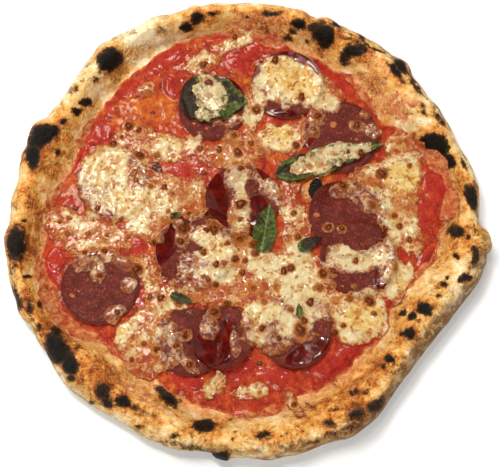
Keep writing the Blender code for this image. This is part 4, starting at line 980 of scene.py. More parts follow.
cheese = {
    "step": 0.8,
    "edge": 0.15,             # thickness at the very edge of a pool
    "depth": 2.0,             # thickness in its middle
    "rise": 7.0,              # how far in from the edge it grows
    "ragged": 2.2,
    "raggedSize": 11.0,
    "fineRagged": 2.7,
    "holes": 7.0,
    "scrap": 3.0,             # square millimetres: smaller scraps are left out
    "lift": 0.1,              # above what it lies on
    "sunk": 0.3,              # how far its underside goes below that
    "sheetHalf": 145.0,
    # pools: x, y, half length, half width, turn; pools that meet run together
    "pools": (
        (-86, 24, 28, 25, 90), (-60, 8, 26, 24, 0), (-120, -3, 14, 12, 100), (-98, -14, 24, 12, 5),
        (-99, -27, 14, 8, 10), (-64, -38, 16, 8, 110), (-62, 52, 26, 10, -10), (-36, 13, 16, 10, 95),
        (-14, 49, 32, 14, 0), (24, 60, 18, 15, 20), (4, 78, 20, 8, 80), (9, 37, 14, 8, 0), (-6, 13, 28, 8.5, 94),
        (13, 22, 12, 6, -40), (30, 4, 26, 10, 100), (28, 95, 25, 17, -35), (50, 88, 18, 10, -38),
        (102, 36, 24, 15, 80), (98.5, -6, 34, 14.5, 92), (78, 21, 17, 8, -35), (84, 33, 16, 7, 10),
        (72, -26, 25, 11, 5), (91, -40, 8, 15, 0), (12, -33, 40, 20, -5), (-20, -32, 24, 15, 0),
        (38, -50, 26, 18, 10), (14, -70, 18, 20, 10), (30, -72, 13, 10, 20), (70, -64, 20, 17, 20),
        (-62, -80, 24, 20, 130), (-58, -58, 12, 10, 0), (-40, -50, 18, 10, 10), (34, -68, 19, 12, 0),
        (-12, 68, 10, 7, 0), (-25, -12, 13, 10, -10), (-9, -52, 13, 7, 0),
    ),
    # dabs that lie apart
    "dabs": (
        (-30, 112, 13, 9.5, 20), (-8, 127, 19, 6, 20), (104, -31, 15, 2.4, 96), (-69, 92, 8, 5.5, 40),
        (-21, -108, 9, 6, 60), (4, -111, 16, 4.5, 5), (28, -119, 10, 4, 120),
    ),
    # bare places
    "gaps": (
        (-19.5, 14, 18, 6.5, 97), (13, 34, 11, 6.5, 0), (16, -2, 17, 8, 100), (-47, -14, 17, 7.5, 65),
        (67, -43.5, 18, 6.5, 0), (-52, 34, 17, 4.5, -8), (-70, -21, 12, 5, 5), (25, 72, 11, 4, 0),
        (-22, 60, 8, 5, 60), (-19, -81, 17, 10, 90), (36, -89, 19, 6.5, 18), (47, -70, 6, 4.5, 0),
        (44.5, 19.5, 12, 11, 0), (-87, -49, 21, 21, 0), (65, -2, 23.5, 15, -35), (103, -27, 9, 4, 110),
    ),
    # small thin patches that lie on the bare places
    "patches": (
        (-95, -37, 5.2, 6.8, 0), (-104, -27, 5, 5.5, 0), (-97, -24, 7, 5, 0), (-89, -25, 6, 4.5, 0),
        (-76, -30, 10, 5, -15), (-75.5, -44, 5.8, 5.4, 0), (-85, -63, 5.5, 6.5, -20), (-80, -60, 4, 4, 0),
        (52, -6.5, 4.4, 4.4, 0), (60, -8, 3.3, 3.3, 0), (60, 19, 8, 5.5, 10), (73, 15, 9, 6, -35),
        (80, 8.5, 7, 6, 0), (46, 70, 7, 7, 0), (44, 61, 5, 6, 0), (73, 64, 7, 4.2, -10), (83, 61, 6, 6, 0),
        (78.5, 72, 4, 3, -40), (-24, -72, 6.5, 8, 0), (-21, -62, 5, 5, 0), (-45, -83, 5, 5.5, 0),
        (-36, -95, 8, 4, -45), (-38, -77, 4.5, 4.5, 0), (-8, -82, 3.5, 8, 10), (-42, -14, 5, 8.5, 10),
        (-45, -4, 4, 4, 0), (54.5, -43.5, 2.6, 2.6, 0), (67.5, -45, 2.4, 2.4, 0), (57, -21.5, 5, 3.5, 0),
        (-80, 65, 5, 5, 0), (-73, 62, 4, 4, 0),
    ),
    # thick enough to hide what is below: x, y, half length, half width, turn, strength
    "thickPlaces": (
        (28, -119, 8, 3, 120, 0.9), (4, -111, 13, 3, 5, 0.9), (-21, -108, 7, 4, 60, 0.8),
        (-3, 21, 6, 12, 5, 0.85), (-5, 0, 5, 11, 0, 0.85), (-93, 38, 17, 14, 0, 0.76), (-90, 25, 20, 9, 0, 0.62),
        (-78, 12, 26, 10, 0, 0.74), (-107, -3, 9, 8, 0, 0.85), (-74, -2, 13, 9, 0, 0.75), (-52, 50, 9, 7, 0, 0.8),
        (-38, 54, 7, 6, 0, 0.7), (30, 98, 22, 15, -35, 1), (12, 92, 9, 12, 0, 0.8), (20, 57, 13, 10, 0, 0.9),
        (5, 71, 9, 6, 0, 0.9), (46, 88, 14, 7, -35, 0.9), (102, 31, 14, 11, 80, 1), (90, 12, 5, 14, 10, 0.7),
        (106, -3, 6, 8, 0, 0.8), (98, -38, 7, 12, 5, 0.8), (72, -25, 22, 10, 5, 0.95), (92, -42, 5, 12, 0, 0.9),
        (72, -64, 20, 15, 20, 1), (15, -30, 16, 9, 0, 1), (34, -44, 14, 15, 0, 1), (10, -62, 15, 7, 0, 1),
        (-20, -21, 14, 9, -10, 1), (-17, -37, 14, 6, 0, 0.8), (32, -23, 12, 7, 0, 0.9), (26, 3, 5, 14, 95, 0.6),
        (-68, -45, 6, 8, 10, 0.9), (-80, -73, 10, 7, 30, 0.95), (-47, -60, 13, 4, 5, 0.85),
        (-7, 127, 12, 4, 20, 0.9), (-30, 113, 9, 5, 20, 0.7), (88, 33, 8, 5, 0, 0.8), (-60, 8, 14, 8, 0, 0.8),
        (-33, 24, 5, 8, 0, 0.4), (40, -17, 8, 6, 0, 0.8), (50, 83, 12, 8, -40, 1), (104, -31, 15, 2, 96, 1),
        (33, -66, 14, 9, 0, 0.7), (93, -10, 6, 14, 0, 0.8), (90, 54, 9, 7, 0, 0.55), (112, 18, 5, 12, 0, 0.6),
        (88, -8, 6, 9, 0, 0.5), (24, -72, 9, 6, 0, 0.65), (-25, -14, 11, 6, -10, 0.95), (-72, -62, 8, 5, 40, 0.8),
        (-60, -77, 8, 5, 0, 0.75), (-10, 28, 6, 9, 0, 0.6), (6, -75, 6, 8, 0, 0.7), (60, -60, 8, 6, 30, 0.7),
    ),
    # toasted orange or brown
    "toastPlaces": (
        (-92, 33, 15, 12, 0, 0.28), (-112, 7, 6, 5, 0, 0.9), (-98, -7, 13, 5, 0, 0.7), (-118, -8, 6, 9, 0, 0.6),
        (-75, 29, 4, 8, -10, 0.8), (-73, 11.5, 8, 2.5, 5, 0.8), (-6, -15, 7, 5, 0, 0.7),
        (-5, -32, 5, 12, -15, 0.6), (102, 10, 9, 8, 0, 0.6), (96, 20, 8, 6, 0, 0.5), (80, 25, 9, 3.5, 0, 0.8),
        (92, -33, 5, 6, 0, 0.6), (-62, -64, 8, 8, 0, 0.45), (-62, -83, 9, 6, 0, 0.5), (-24, -4, 9, 4, 0, 0.6),
        (-58, -52, 8, 4, 0, 0.9), (64, -54, 12, 4, 5, 0.7), (33, -73, 5, 7, 10, 0.8), (-18, 40, 5, 3, -20, 0.8),
        (-10, 50, 14, 6, 0, 0.6), (5, 55, 8, 6, 0, 0.5), (-45, 20, 10, 8, -30, 0.55), (-36, 8, 5, 7, 0, 0.6),
        (-54, 0, 8, 6, 0, 0.5), (0, -8, 12, 3, 0, 0.5), (-10, 4, 6, 10, 5, 0.6), (3, -45, 8, 6, 0, 0.5),
        (-10, -48, 14, 6, 0, 0.4), (35, 34, 10, 3, 10, 0.4), (12, 45, 9, 7, 0, 0.5), (-55, 62, 10, 6, 0, 0.5),
        (100, 50, 8, 8, 0, 0.35), (-98, -22, 10, 3, 0, 0.5), (-70, -26, 8, 5, -10, 0.6), (50, -38, 4, 5, 0, 0.6),
        (0, -66, 4, 10, 0, 0.5), (-38, -52, 12, 4, 0, 0.5), (75, -57, 6, 4, 0, 0.7),
    ),
    # yellow rather than white
    "yellowPlaces": (
        (30, 98, 20, 12, -35, 1), (102, 28, 13, 11, 0, 1), (73, -64, 14, 10, 20, 1), (20, 58, 12, 8, 0, 0.8),
        (-76, 12, 22, 7, 0, 0.7), (-93, 37, 15, 10, 0, 0.7), (-82, -72, 8, 5, 0, 0.8), (-20, -20, 12, 7, 0, 0.6),
        (98, -42, 6, 6, 0, 0.7), (12, -62, 10, 4, 0, 0.4), (-50, 52, 8, 6, 0, 0.6), (40, -45, 8, 10, 0, 0.3),
    ),
    # blisters, placed one by one: x, y, width, how dark
    "blisters": (
        (-79.5, 64.5, 7, 0.7), (-72.5, 62, 5, 0.7), (-84, 57, 3.5, 0.7), (-89.5, 52.5, 6.5, 0.8),
        (-67, 89, 5, 0.35), (-63.5, 75, 3.5, 0.6), (-9, 130.5, 5.5, 0.7), (-18.5, 127, 4.5, 0.4),
        (-12.5, 128, 4, 0.4), (-30, 109.5, 7, 0.6), (-19, 113, 6, 0.3), (18.5, 111.5, 7, 0.7),
        (26.5, 105, 4, 0.25), (32, 100, 6, 0.4), (14, 95.5, 4, 0.3), (22.5, 87.5, 3.6, 0.3),
        (18, 82.5, 3.8, 0.25), (36, 84.5, 7, 0.7), (29.5, 81.5, 3, 0.25), (28, 95, 3, 0.15), (5.8, 76, 6.5, 0.8),
        (8.5, 66.5, 4, 0.45), (-1, 64, 5, 0.25), (-26.5, 85, 6, 0.45), (-26, 94, 6.5, 0.5), (-32, 84.5, 3, 0.45),
        (-31, 80, 3, 0.35), (-20, 98, 4, 0.45), (-17, 94, 3.5, 0.4), (30, 66.5, 4.5, 0.4), (28.5, 60, 4, 0.4),
        (2, 90, 5, 0.35), (-9, 58, 5, 0.5), (-4, 52, 5, 0.5), (2, 52.5, 5, 0.6), (11, 59, 4, 0.4),
        (14, 61, 4, 0.4), (44, 62, 4.5, 0.6), (45, 87, 4, 0.25), (48, 86.5, 3, 0.25), (32, 51, 5.5, 0.75),
        (-31.5, 48.5, 5, 0.6), (-19, 48, 5.5, 0.65), (-6.5, 46, 7, 0.75), (-18.5, 40, 6, 0.4), (-8, 38, 4, 0.4),
        (-12.5, 31.5, 3.5, 0.5), (-29, 32, 5, 0.6), (-4.5, 33.5, 5, 0.65), (1, 24, 5, 0.6), (5, 18.5, 4.5, 0.7),
        (-7.5, 26, 4, 0.2), (-4.5, 9.5, 9, 0.9), (-22, -8, 8, 0.8), (-26.5, -8, 5, 0.75), (-28, -3, 4, 0.6),
        (-38, 3, 4.5, 0.7), (-41.5, -7.5, 8, 0.9), (-43, -15.5, 6, 0.75), (-43, -22, 6, 0.5), (-5, -1, 5, 0.5),
        (-9, 0, 4, 0.4), (30, 4, 4.5, 0.6), (32.5, -12, 4.8, 0.6), (-23, -17, 3.6, 0.3), (-13, -17, 4.5, 0.6),
        (-5, -14, 6, 0.5), (4, -17, 6, 0.6), (-28, -23, 5.5, 0.6), (-8, -27, 5.5, 0.7), (-1.5, -28, 4, 0.65),
        (-20, -31, 5.5, 0.65), (-15, -30, 5, 0.5), (-3, -36, 4.8, 0.75), (5, -23, 5.5, 0.6), (13, -27, 6, 0.2),
        (26, -24, 5, 0.2), (42, -23.5, 4, 0.45), (23, -34.8, 6, 0.85), (27.5, -33, 5.5, 0.8),
        (19, -45.5, 5.2, 0.4), (28.5, -46, 3, 0.3), (3.5, -46, 5, 0.5), (9, -50, 4, 0.4), (10.5, -55, 4.5, 0.5),
        (39.5, -55.5, 6.8, 0.65), (27, -60, 5.2, 0.5), (18.5, -57, 4, 0.2), (-36.5, -43, 6, 0.35),
        (-33, -27, 3.5, 0.35), (-25, -41, 5, 0.6), (-28, -39, 4, 0.5), (-20, -44, 4, 0.7), (-36, -62, 6.5, 0.5),
        (-21, -62, 6.5, 0.8), (-38.5, -76.5, 6.2, 0.7), (-13, -56.5, 5.5, 0.65), (-6, -63, 5, 0.3),
        (9, -72.5, 5.2, 0.75), (33, -73, 9, 0.65), (35.5, -67, 6, 0.6), (19.5, -78.5, 4.5, 0.65),
        (42.5, -78.5, 5, 0.6), (-44.5, -83, 4.6, 0.7), (-4, -73, 4.5, 0.5), (1.5, -85, 4, 0.5),
        (7.5, -93.5, 4.5, 0.65), (13, -85, 4, 0.45), (22, -83.5, 4, 0.5), (-36, -95, 5.5, 0.75),
        (-45, -70.5, 5, 0.25), (-102.5, 46, 4.5, 0.35), (-98, 44, 3.5, 0.2), (-94.5, 46.5, 3, 0.2),
        (-88, 40.5, 7, 0.35), (-71.5, 44, 7, 0.95), (-77, 39, 4, 0.5), (-60, 44, 5, 0.5), (-49.5, 44, 4, 0.35),
        (-97, 36, 4, 0.25), (-92.5, 33.5, 3.5, 0.3), (-74.5, 31, 6.5, 0.5), (-73, 26, 5, 0.55),
        (-106, 25, 4, 0.35), (-86, 22.5, 4.5, 0.45), (-66.5, 24, 3.2, 0.4), (-63.5, 22, 4, 0.5),
        (-54.5, 21.5, 5.2, 0.75), (-49.5, 17, 4, 0.5), (-104, 15, 3.6, 0.4), (-97, 6.5, 4.8, 0.65),
        (-112, 7.5, 5, 0.5), (-81.5, 6, 4.5, 0.25), (-56, 10, 3.5, 0.35), (-51.5, 5.5, 3.4, 0.5),
        (-61, 2, 5.5, 0.45), (-60.5, -4, 5.5, 0.3), (-53.5, -1, 5.5, 0.45), (-82, -4, 4, 0.3),
        (-78, -1.5, 4, 0.3), (-75.5, -6.5, 3.6, 0.4), (-115.5, 0, 4, 0.5), (-121.5, -2, 3.4, 0.6),
        (-116, -10, 4.8, 0.55), (-103, -10, 4, 0.55), (-96, -12, 4.5, 0.4), (-90.5, -11, 3.5, 0.6),
        (-77, -12, 3.5, 0.5), (-67, -13, 4, 0.25), (-60, -16, 5, 0.6), (-104, -23, 4.5, 0.6),
        (-116, -18, 4.5, 0.3), (-99, -20.5, 4, 0.4), (-91.5, -22, 5, 0.85), (-105, -28.5, 4.5, 0.45),
        (-94, -38, 4.6, 0.75), (-70.8, -33.8, 8, 1), (-76.5, -47.5, 4.4, 0.5), (-73, -42, 3, 0.35),
        (-81.8, -62, 4.6, 0.7), (-85, -67, 4, 0.4), (-92.5, -27.5, 3.2, 0.5), (-78, -28, 4, 0.3),
        (-84.5, -31.5, 3.2, 0.5), (-62, -51.5, 5, 0.6), (-55, -52.3, 6, 0.7), (-43.5, -56.5, 5, 0.5),
        (-71, -59, 4, 0.5), (-56, -85.5, 4.6, 0.95), (-64.5, -81.5, 4, 0.55), (-72, -91.5, 3.6, 0.7),
        (-73.5, -83, 4, 0.35), (-60.5, -75, 4, 0.4), (-69, -77, 3.2, 0.3), (88, 31, 8, 0.95),
        (62, 22.3, 6.5, 0.75), (52, -6.5, 6.2, 0.9), (60.5, -7.5, 4.8, 0.8), (80.5, 9, 6.5, 0.55),
        (88, -7.5, 5, 0.7), (85, -15, 4.5, 0.55), (74, -18.5, 5, 0.55), (104, -14.5, 5, 0.6), (98, -5, 5, 0.6),
        (95, 2, 5, 0.5), (104.5, 2.5, 4, 0.35), (95.5, 12.5, 5, 0.4), (107, 16, 4, 0.35), (101, 19, 3.6, 0.35),
        (106.5, 36.5, 4.2, 0.5), (104.5, 40, 3, 0.45), (100, 53.5, 5, 0.4), (105.5, 54.5, 4.2, 0.45),
        (92.5, 44.5, 4, 0.5), (91.5, 34, 3.2, 0.4), (112, 24.5, 3, 0.4), (106.5, 27.5, 3, 0.15),
        (98, 24, 3, 0.15), (82.5, 24, 4.8, 0.45), (75.5, 24.5, 4.5, 0.4), (87.5, 23, 4.8, 0.3), (84, -1, 4, 0.2),
        (75.5, 30.5, 4, 0.4), (71, 37, 5.5, 0.35), (74.5, 44, 6.5, 0.65), (66, 45, 3.6, 0.5),
        (56, 43.5, 4.2, 0.4), (63, 42, 3.5, 0.4), (47, 44.5, 4, 0.3), (47, 37.5, 5.5, 0.4), (40, 35, 5, 0.45),
        (46.5, 71, 6.5, 0.65), (43.5, 62, 5, 0.55), (72.5, 64.5, 7, 0.75), (78.5, 72, 3.6, 0.35),
        (83, 60.5, 4, 0.4), (85.5, 56.5, 3.2, 0.5), (48, -36.5, 6.8, 0.75), (69, -28.5, 5, 0.6),
        (57.5, -32.5, 5, 0.3), (77.5, -26.5, 4, 0.45), (90.5, -22.5, 4.8, 0.4), (93, -32.5, 5, 0.45),
        (78.5, -34, 4, 0.45), (54.5, -43.5, 3.4, 0.45), (67.5, -45, 3.6, 0.45), (77, -54.5, 7.5, 0.8),
        (64.5, -53, 5, 0.5), (55, -54, 5.5, 0.4), (69.5, -61.5, 5, 0.3), (80, -62.5, 4, 0.5), (60, -70, 4.2, 0.6),
        (54.5, -74.5, 5, 0.65), (76, -75, 4, 0.45), (58.5, -82.5, 4, 0.3), (77, -69, 3.2, 0.2),
        (45.5, -45.5, 6, 0.5), (68.5, -68, 3.2, 0.2), (-45.5, -26.5, 4, 0.35), (-36, -37.5, 3.5, 0.5),
        (28.5, -119, 4.5, 0.75), (37, -104, 3.4, 0.4), (-24, -106, 3, 0.3), (7, -112, 3.4, 0.4),
        (56.5, -21.5, 4, 0.45), (103, -3, 3.5, 0.3),
    ),
}
print("cheese")


# In any pool and out of every gap, with a ragged edge; a patch counts wherever it lies.
def cheeseReach(x, y):
    pools = np.max([ovalReach(x, y, pool) for pool in cheese["pools"]], axis=0)
    gaps = np.max([ovalReach(x, y, gap) for gap in cheese["gaps"]], axis=0)
    dabs = np.max([ovalReach(x, y, dab) for dab in cheese["dabs"]], axis=0) + lumps(x, y, 7.0, 34)
    patches = np.max([ovalReach(x, y, patch) for patch in cheese["patches"]], axis=0) + 0.8 * lumps(x, y, 4.0, 36)
    main = np.minimum(pools, -gaps) + cheese["ragged"] * lumps(x, y, cheese["raggedSize"], 31)
    fine = cheese["fineRagged"] * rough(x, y, 5.0, 37, 4)
    holes = cheese["holes"] * np.clip(rough(x, y, 7.0, 42) - 0.36, 0.0, 1.0)
    holes = holes * (1.0 - 0.8 * ovalMask(x, y, cheese["thickPlaces"], 2.0))
    return np.maximum(np.maximum(main, dabs) + fine - holes, patches)


# A steep rounded edge, then 1 - exp(-reach / rise) up to the full depth, with lumps and curds.
def cheeseThickness(x, y, reach):
    lip = np.sqrt(np.clip(1.0 - (1.0 - np.clip(reach / 1.3, 0.0, 1.0)) ** 2, 0.0, 1.0))
    body = 1.0 - np.exp(-np.maximum(reach, 0.0) / cheese["rise"])
    lump = 0.5 * lumps(x, y, 14.0, 32) + 0.3 * rough(x, y, 5.5, 38)
    curd = 0.3 * rough(x, y, 3.2, 39) + 0.12 * lumps(x, y, 1.8, 40)
    return cheese["edge"] + 0.22 * lip + (cheese["depth"] - 0.7 + lump) * body + curd * lip


# How opaque, toasted and browned each point is; round a blister the halo falls as exp(-(share - 0.8)^2 / 0.3).
def cheeseAttributes(planX, planY, reach, onLeaf=False):
    opaque = np.maximum(ovalMask(planX, planY, cheese["thickPlaces"], 3.5), 0.25 * soften(reach / 8.0))
    opaque = opaque * soften(0.25 + reach / 4.5) + 0.3 * rough(planX, planY, 9.0, 71)
    toast = ovalMask(planX, planY, cheese["toastPlaces"], 3.0) + 0.22 * rough(planX, planY, 7.0, 72)
    halo = np.zeros(planX.shape)
    for middleX, middleY, width, dark in cheese["blisters"]:
        near = np.abs(planX - middleX) + np.abs(planY - middleY) < 2.8 * width
        away = np.hypot(planX[near] - middleX, planY[near] - middleY) / (width / 2)
        strength = np.where(dark >= 0.5, 0.75 + 0.25 * dark, 0.6 + 0.4 * dark)
        halo[near] = np.maximum(halo[near], strength * np.exp(-np.maximum(away - 0.8, 0.0) ** 2 / 0.3))
    return {"opaque": opaque, "toast": toast, "halo": halo, "inward": np.clip(reach / 5.0, 0.0, 1.0),
            # Painted shade: how deep each point lies in a hollow, for darkening the colour there.
            "cavity": readGrid(cheeseHollow, planX, planY) / 0.45,
            "salamiBelow": readGrid(salamiSoft, planX, planY),
            "yellow": ovalMask(planX, planY, cheese["yellowPlaces"], 5.0),
            "green": np.full(planX.shape, 1.0 if onLeaf else 0.0)}


def makeCheeseMaterial():
    material, inputs, point, read = newMaterial("meltedCheese", {
        "Roughness": 0.5, "Specular IOR Level": 0.2, "Coat Weight": 0.35, "Coat Roughness": 0.06,
        "Subsurface Weight": 0.08, "Subsurface Scale": 0.0015})
    wide, middle = noise(point, 10.0, 3.0, 0.5), noise(point, 4.2, 4.0, 0.55, 0.6)
    patchy, fine = noise(point, 6.5, 4.0, 0.6, 1.2), noise(point, 1.4, 4.0, 0.6)
    body = mixColour(ease(addNoise(read("yellow"), wide, 1.4), 0.0, 1.0), "c6b68e", "cba554")
    body = laid(body, ease(addNoise(middle, fine, 0.25), 0.43, 0.68), 0.75, "dcd1aa")
    body = laid(body, ease(addNoise(middle, fine, 0.2), 0.48, 0.28), 0.75, "b98a40")
    overSalami = ease(read("salamiBelow"), 0.3, 0.7)
    leaf = times(read("green"), 0.75)
    under = mixColour(leaf, mixColour(overSalami, "92351a", "6a281f"), "46552a")
    milky = mixColour(leaf, mixColour(overSalami, "b58756", "a5836f"), "b9b58c")
    opaque = addNoise(addNoise(addNoise(read("opaque"), middle, 0.9), fine, 0.35), patchy, 2.1)
    colour = mixColour(ease(opaque, 0.04, 0.36), under, milky)
    colour = mixColour(ease(opaque, 0.3, 0.75), colour, body)
    # Skins of small bubbles: pale rings round cell middles, and a brown spot in the middle of some.
    bent = bentPoint(point, 4.0, 3.0)
    cell = addNoise(voronoi(bent, 5.0), fine, 0.2)
    thin = times(ease(opaque, -0.5, 0.15), ease(opaque, 0.9, 0.5))
    lace = times(ease(awayFrom(cell, 0.36), 0.1, 0.02), ease(middle, 0.4, 0.54))
    colour = laid(colour, times(lace, thin), minus(0.75, times(overSalami, 0.35)), "ccb484")
    toast = addNoise(addNoise(plus(read("toast"), times(thin, 0.12)), patchy, 1.8), fine, 0.6)
    colour = laid(colour, ease(toast, 0.36, 0.86), 0.8,
                  ramp(toast, (0.3, "d08f3a"), (0.6, "b86a24"), (0.85, "8f4618"), (1.0, "652d10")))
    stains = ease(addNoise(noise(point, 4.6, 4.0, 0.6, 0.8), fine, 0.2), 0.52, 0.66)
    colour = laid(colour, stains, 0.8, ramp(stains, (0.2, "cc9438"), (0.6, "b46a18"), (1.0, "86400c")))
    chosen = ease(voronoi(bent, 5.0, "Color"), 0.35, 0.5)
    colour = laid(colour, times(ease(cell, 0.3, 0.14), chosen), 0.85,
                  ramp(cell, (0.06, "8c4412"), (0.17, "b5681c"), (0.28, "d4973a")))
    # The edge is browned in places, most where it lies on salami.
    browned = ease(addNoise(addNoise(read("inward"), middle, 0.9), fine, 0.3), 0.34, 0.1)
    colour = laid(colour, browned, plus(0.04, times(overSalami, 0.16)), "9c5a28")
    halo = addNoise(addNoise(read("halo"), fine, 0.5), patchy, 1.3)
    colour = laid(colour, ease(halo, 0.22, 0.95), minus(0.92, times(overSalami, 0.4)),
                  ramp(halo, (0.25, "d8a245"), (0.5, "c07822"), (0.75, "994c12"), (1.0, "6c300c")))
    # Painted shade: a darker brown laid in the hollows.
    colour = laid(colour, ease(read("cavity"), 0.15, 1.0), 0.28, "a5642a")
    plug(colour, inputs["Base Color"])
    relief = plus(noise(point, 1.6, 3.0, 0.5, 0.4), times(middle, 1.2))
    plug(bump(minus(relief, times(cell, 0.9)), 0.6, 1.0), inputs["Normal"])
    return material


cheeseMaterial = makeCheeseMaterial()
salamiSoft = blurred(salamiBelow, 0.8)
cheeseBase = layBase(field, 1.5, 1.4)
cheeseInside = cheeseReach(gridX, gridY)
cheeseSurface = cheeseBase + cheese["lift"] + cheeseThickness(gridX, gridY, np.maximum(cheeseInside, 0.0))
cheeseField = np.where(cheeseInside > 0.0, np.maximum(field, cheeseSurface), field)
cheeseHollow = hollowness(cheeseField, 1.6)


# Each connected part stands for the CAD node whose box it overlaps most; the rest are scraps.
def buildCheese():
    x, y, value, kept = sheetPlan(cheeseReach, cheese["step"], cheese["sheetHalf"])
    labels = connectedParts(kept)
    names, counts = np.unique(labels[labels >= 0], return_counts=True)
    top = readGrid(cheeseBase, x, y) + cheese["lift"] + cheeseThickness(x, y, value)
    bottom = readGrid(field, x, y) - cheese["sunk"]
    nodes = sorted(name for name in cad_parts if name.startswith("cheese_") and "basil" not in name)
    boxes = {name: np.array([corner[:2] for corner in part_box(name)]) / mm for name in nodes}
    parts = {name: np.zeros(kept.shape, bool) for name in nodes}
    scraps = np.zeros(kept.shape, bool)
    for label, count in zip(names, counts):
        if count * cheese["step"] ** 2 < cheese["scrap"]:
            continue
        part = labels == label
        rows, columns = np.nonzero(part)
        corners = np.stack([x[rows, columns], y[rows, columns]])
        low, high = corners.min(axis=1), corners.max(axis=1)
        best, bestShare = None, 0.25
        for name, (boxLow, boxHigh) in boxes.items():
            common = np.prod(np.maximum(np.minimum(high, boxHigh) - np.maximum(low, boxLow), 0.0))
            share = common / (np.prod(high - low) + np.prod(boxHigh - boxLow) - common)
            if share > bestShare:
                best, bestShare = name, share
        if best is None:
            scraps |= part
        else:
            parts[best] |= part
    # A node whose cheese ran into another part is stood for by the part that covers most of its box.
    standsFor = {name: [name] for name in nodes}
    for name in nodes:
        if not parts[name].any():
            low, high = boxes[name]
            cellX, cellY = x[:-1, :-1], y[:-1, :-1]
            inBox = (cellX > low[0]) & (cellX < high[0]) & (cellY > low[1]) & (cellY < high[1])
            standsFor[max(nodes, key=lambda other: (parts[other] & inBox).sum())].append(name)
    sizes = {name: int(part.sum()) for name, part in parts.items()}
    print("cheese parts", sizes, "scraps", int(scraps.sum()), standsFor)
    for name, part in list(parts.items()) + [("cheese_scraps", scraps)]:
        if not part.any():
            continue
        points, faces, used = slabMesh(part, x, y, top, bottom)
        reach = np.tile(value.ravel()[used], 2)
        attributes = cheeseAttributes(points[:, 0], points[:, 1], reach)
        makePiece(name, points, faces, cheeseMaterial, attributes, standsFor.get(name, ()))


buildCheese()
field = cheeseField


basil = {
    "thickness": 0.8,
    "gap": 0.3,
    "tip": 0.9,               # how far the leaf narrows to its tip
    "swell": 1.12,            # makes up for that at its widest
    "sharpAngle": 60,
    # x, y, length, width, turn of the tip, fold, wave
    "leaves": (
        (-22.5, 83.0, 46.0, 40.0, -5.0, 1.8, 1.2), (54.5, 41.0, 76.0, 20.0, 17.0, 1.4, 1.2),
        (11.5, -6.5, 32.0, 18.0, 80.0, 1.8, 0.6), (40.0, -16.5, 17.0, 10.0, 25.0, 0.5, 0.4),
        (-41.5, -53.0, 16.0, 7.0, -20.0, 0.4, 0.4), (32.5, -61.0, 10.0, 5.0, 95.0, 0.2, 0.2),
        (-46.5, 2.0, 8.0, 5.0, 20.0, 0.2, 0.2),
    ),
    # scorched parts: x, y, half length, half width, turn, strength
    "scorch": (
        (-41, 87, 18, 8, 100, 1.3), (-22, 68, 8, 3, 10, 0.8), (-10, 84, 5, 3, 30, 0.8),
        (-14, 93, 4, 2.5, -30, 0.8), (-5, 82, 3, 3, 0, 0.7), (30, 35, 9, 4, 17, 1), (48, 35, 12, 3, 17, 0.9),
        (38, 43, 8, 2.5, 17, 0.8), (64, 49, 8, 2, 17, 0.7), (66, 33, 7, 4, -5, 1), (60, 36, 6, 3, 20, 0.9),
        (44, 33.5, 9, 3, 12, 0.75), (52, 47, 5, 2, 10, 0.8), (20, 33, 3, 3, 0, 1), (28, 37.5, 3, 1.5, 30, 0.8),
        (41, -16, 8, 5, 25, 0.75), (-41.5, -53, 8, 4, -20, 0.6), (7, -2.5, 4.5, 4, 40, 0.6),
        (-47, 2, 3, 2, 0, 0.7), (-12, 88, 3, 2, 0, 0.6), (-9, 79, 5, 1.2, 5, 0.6), (-15, 76, 3, 2, 40, 0.6),
        (30, 44, 4, 1.5, 30, 0.6),
    ),
}
print("basil")


# Half width at u from -1 (stem) to 1 (tip): half the width times sqrt(1-u^2) times ((1-u)/2)^0.45 * 1.12.
def leafHalf(width, u):
    return width / 2 * np.sqrt(1.0 - u ** 2) * ((1.0 - u) / 2) ** (basil["tip"] / 2) * basil["swell"]


# A leaf's lift without its veins: fold * share across, and waves of (0.5 + 0.5 sin) along it.
def leafLift(number, sizes, along, across):
    width, fold, wave = sizes[3], sizes[5], sizes[6]
    return fold * (np.abs(across) / (width / 2)) + wave * (0.5 + 0.5 * np.sin(along * 0.42 + across * 0.25 + number))


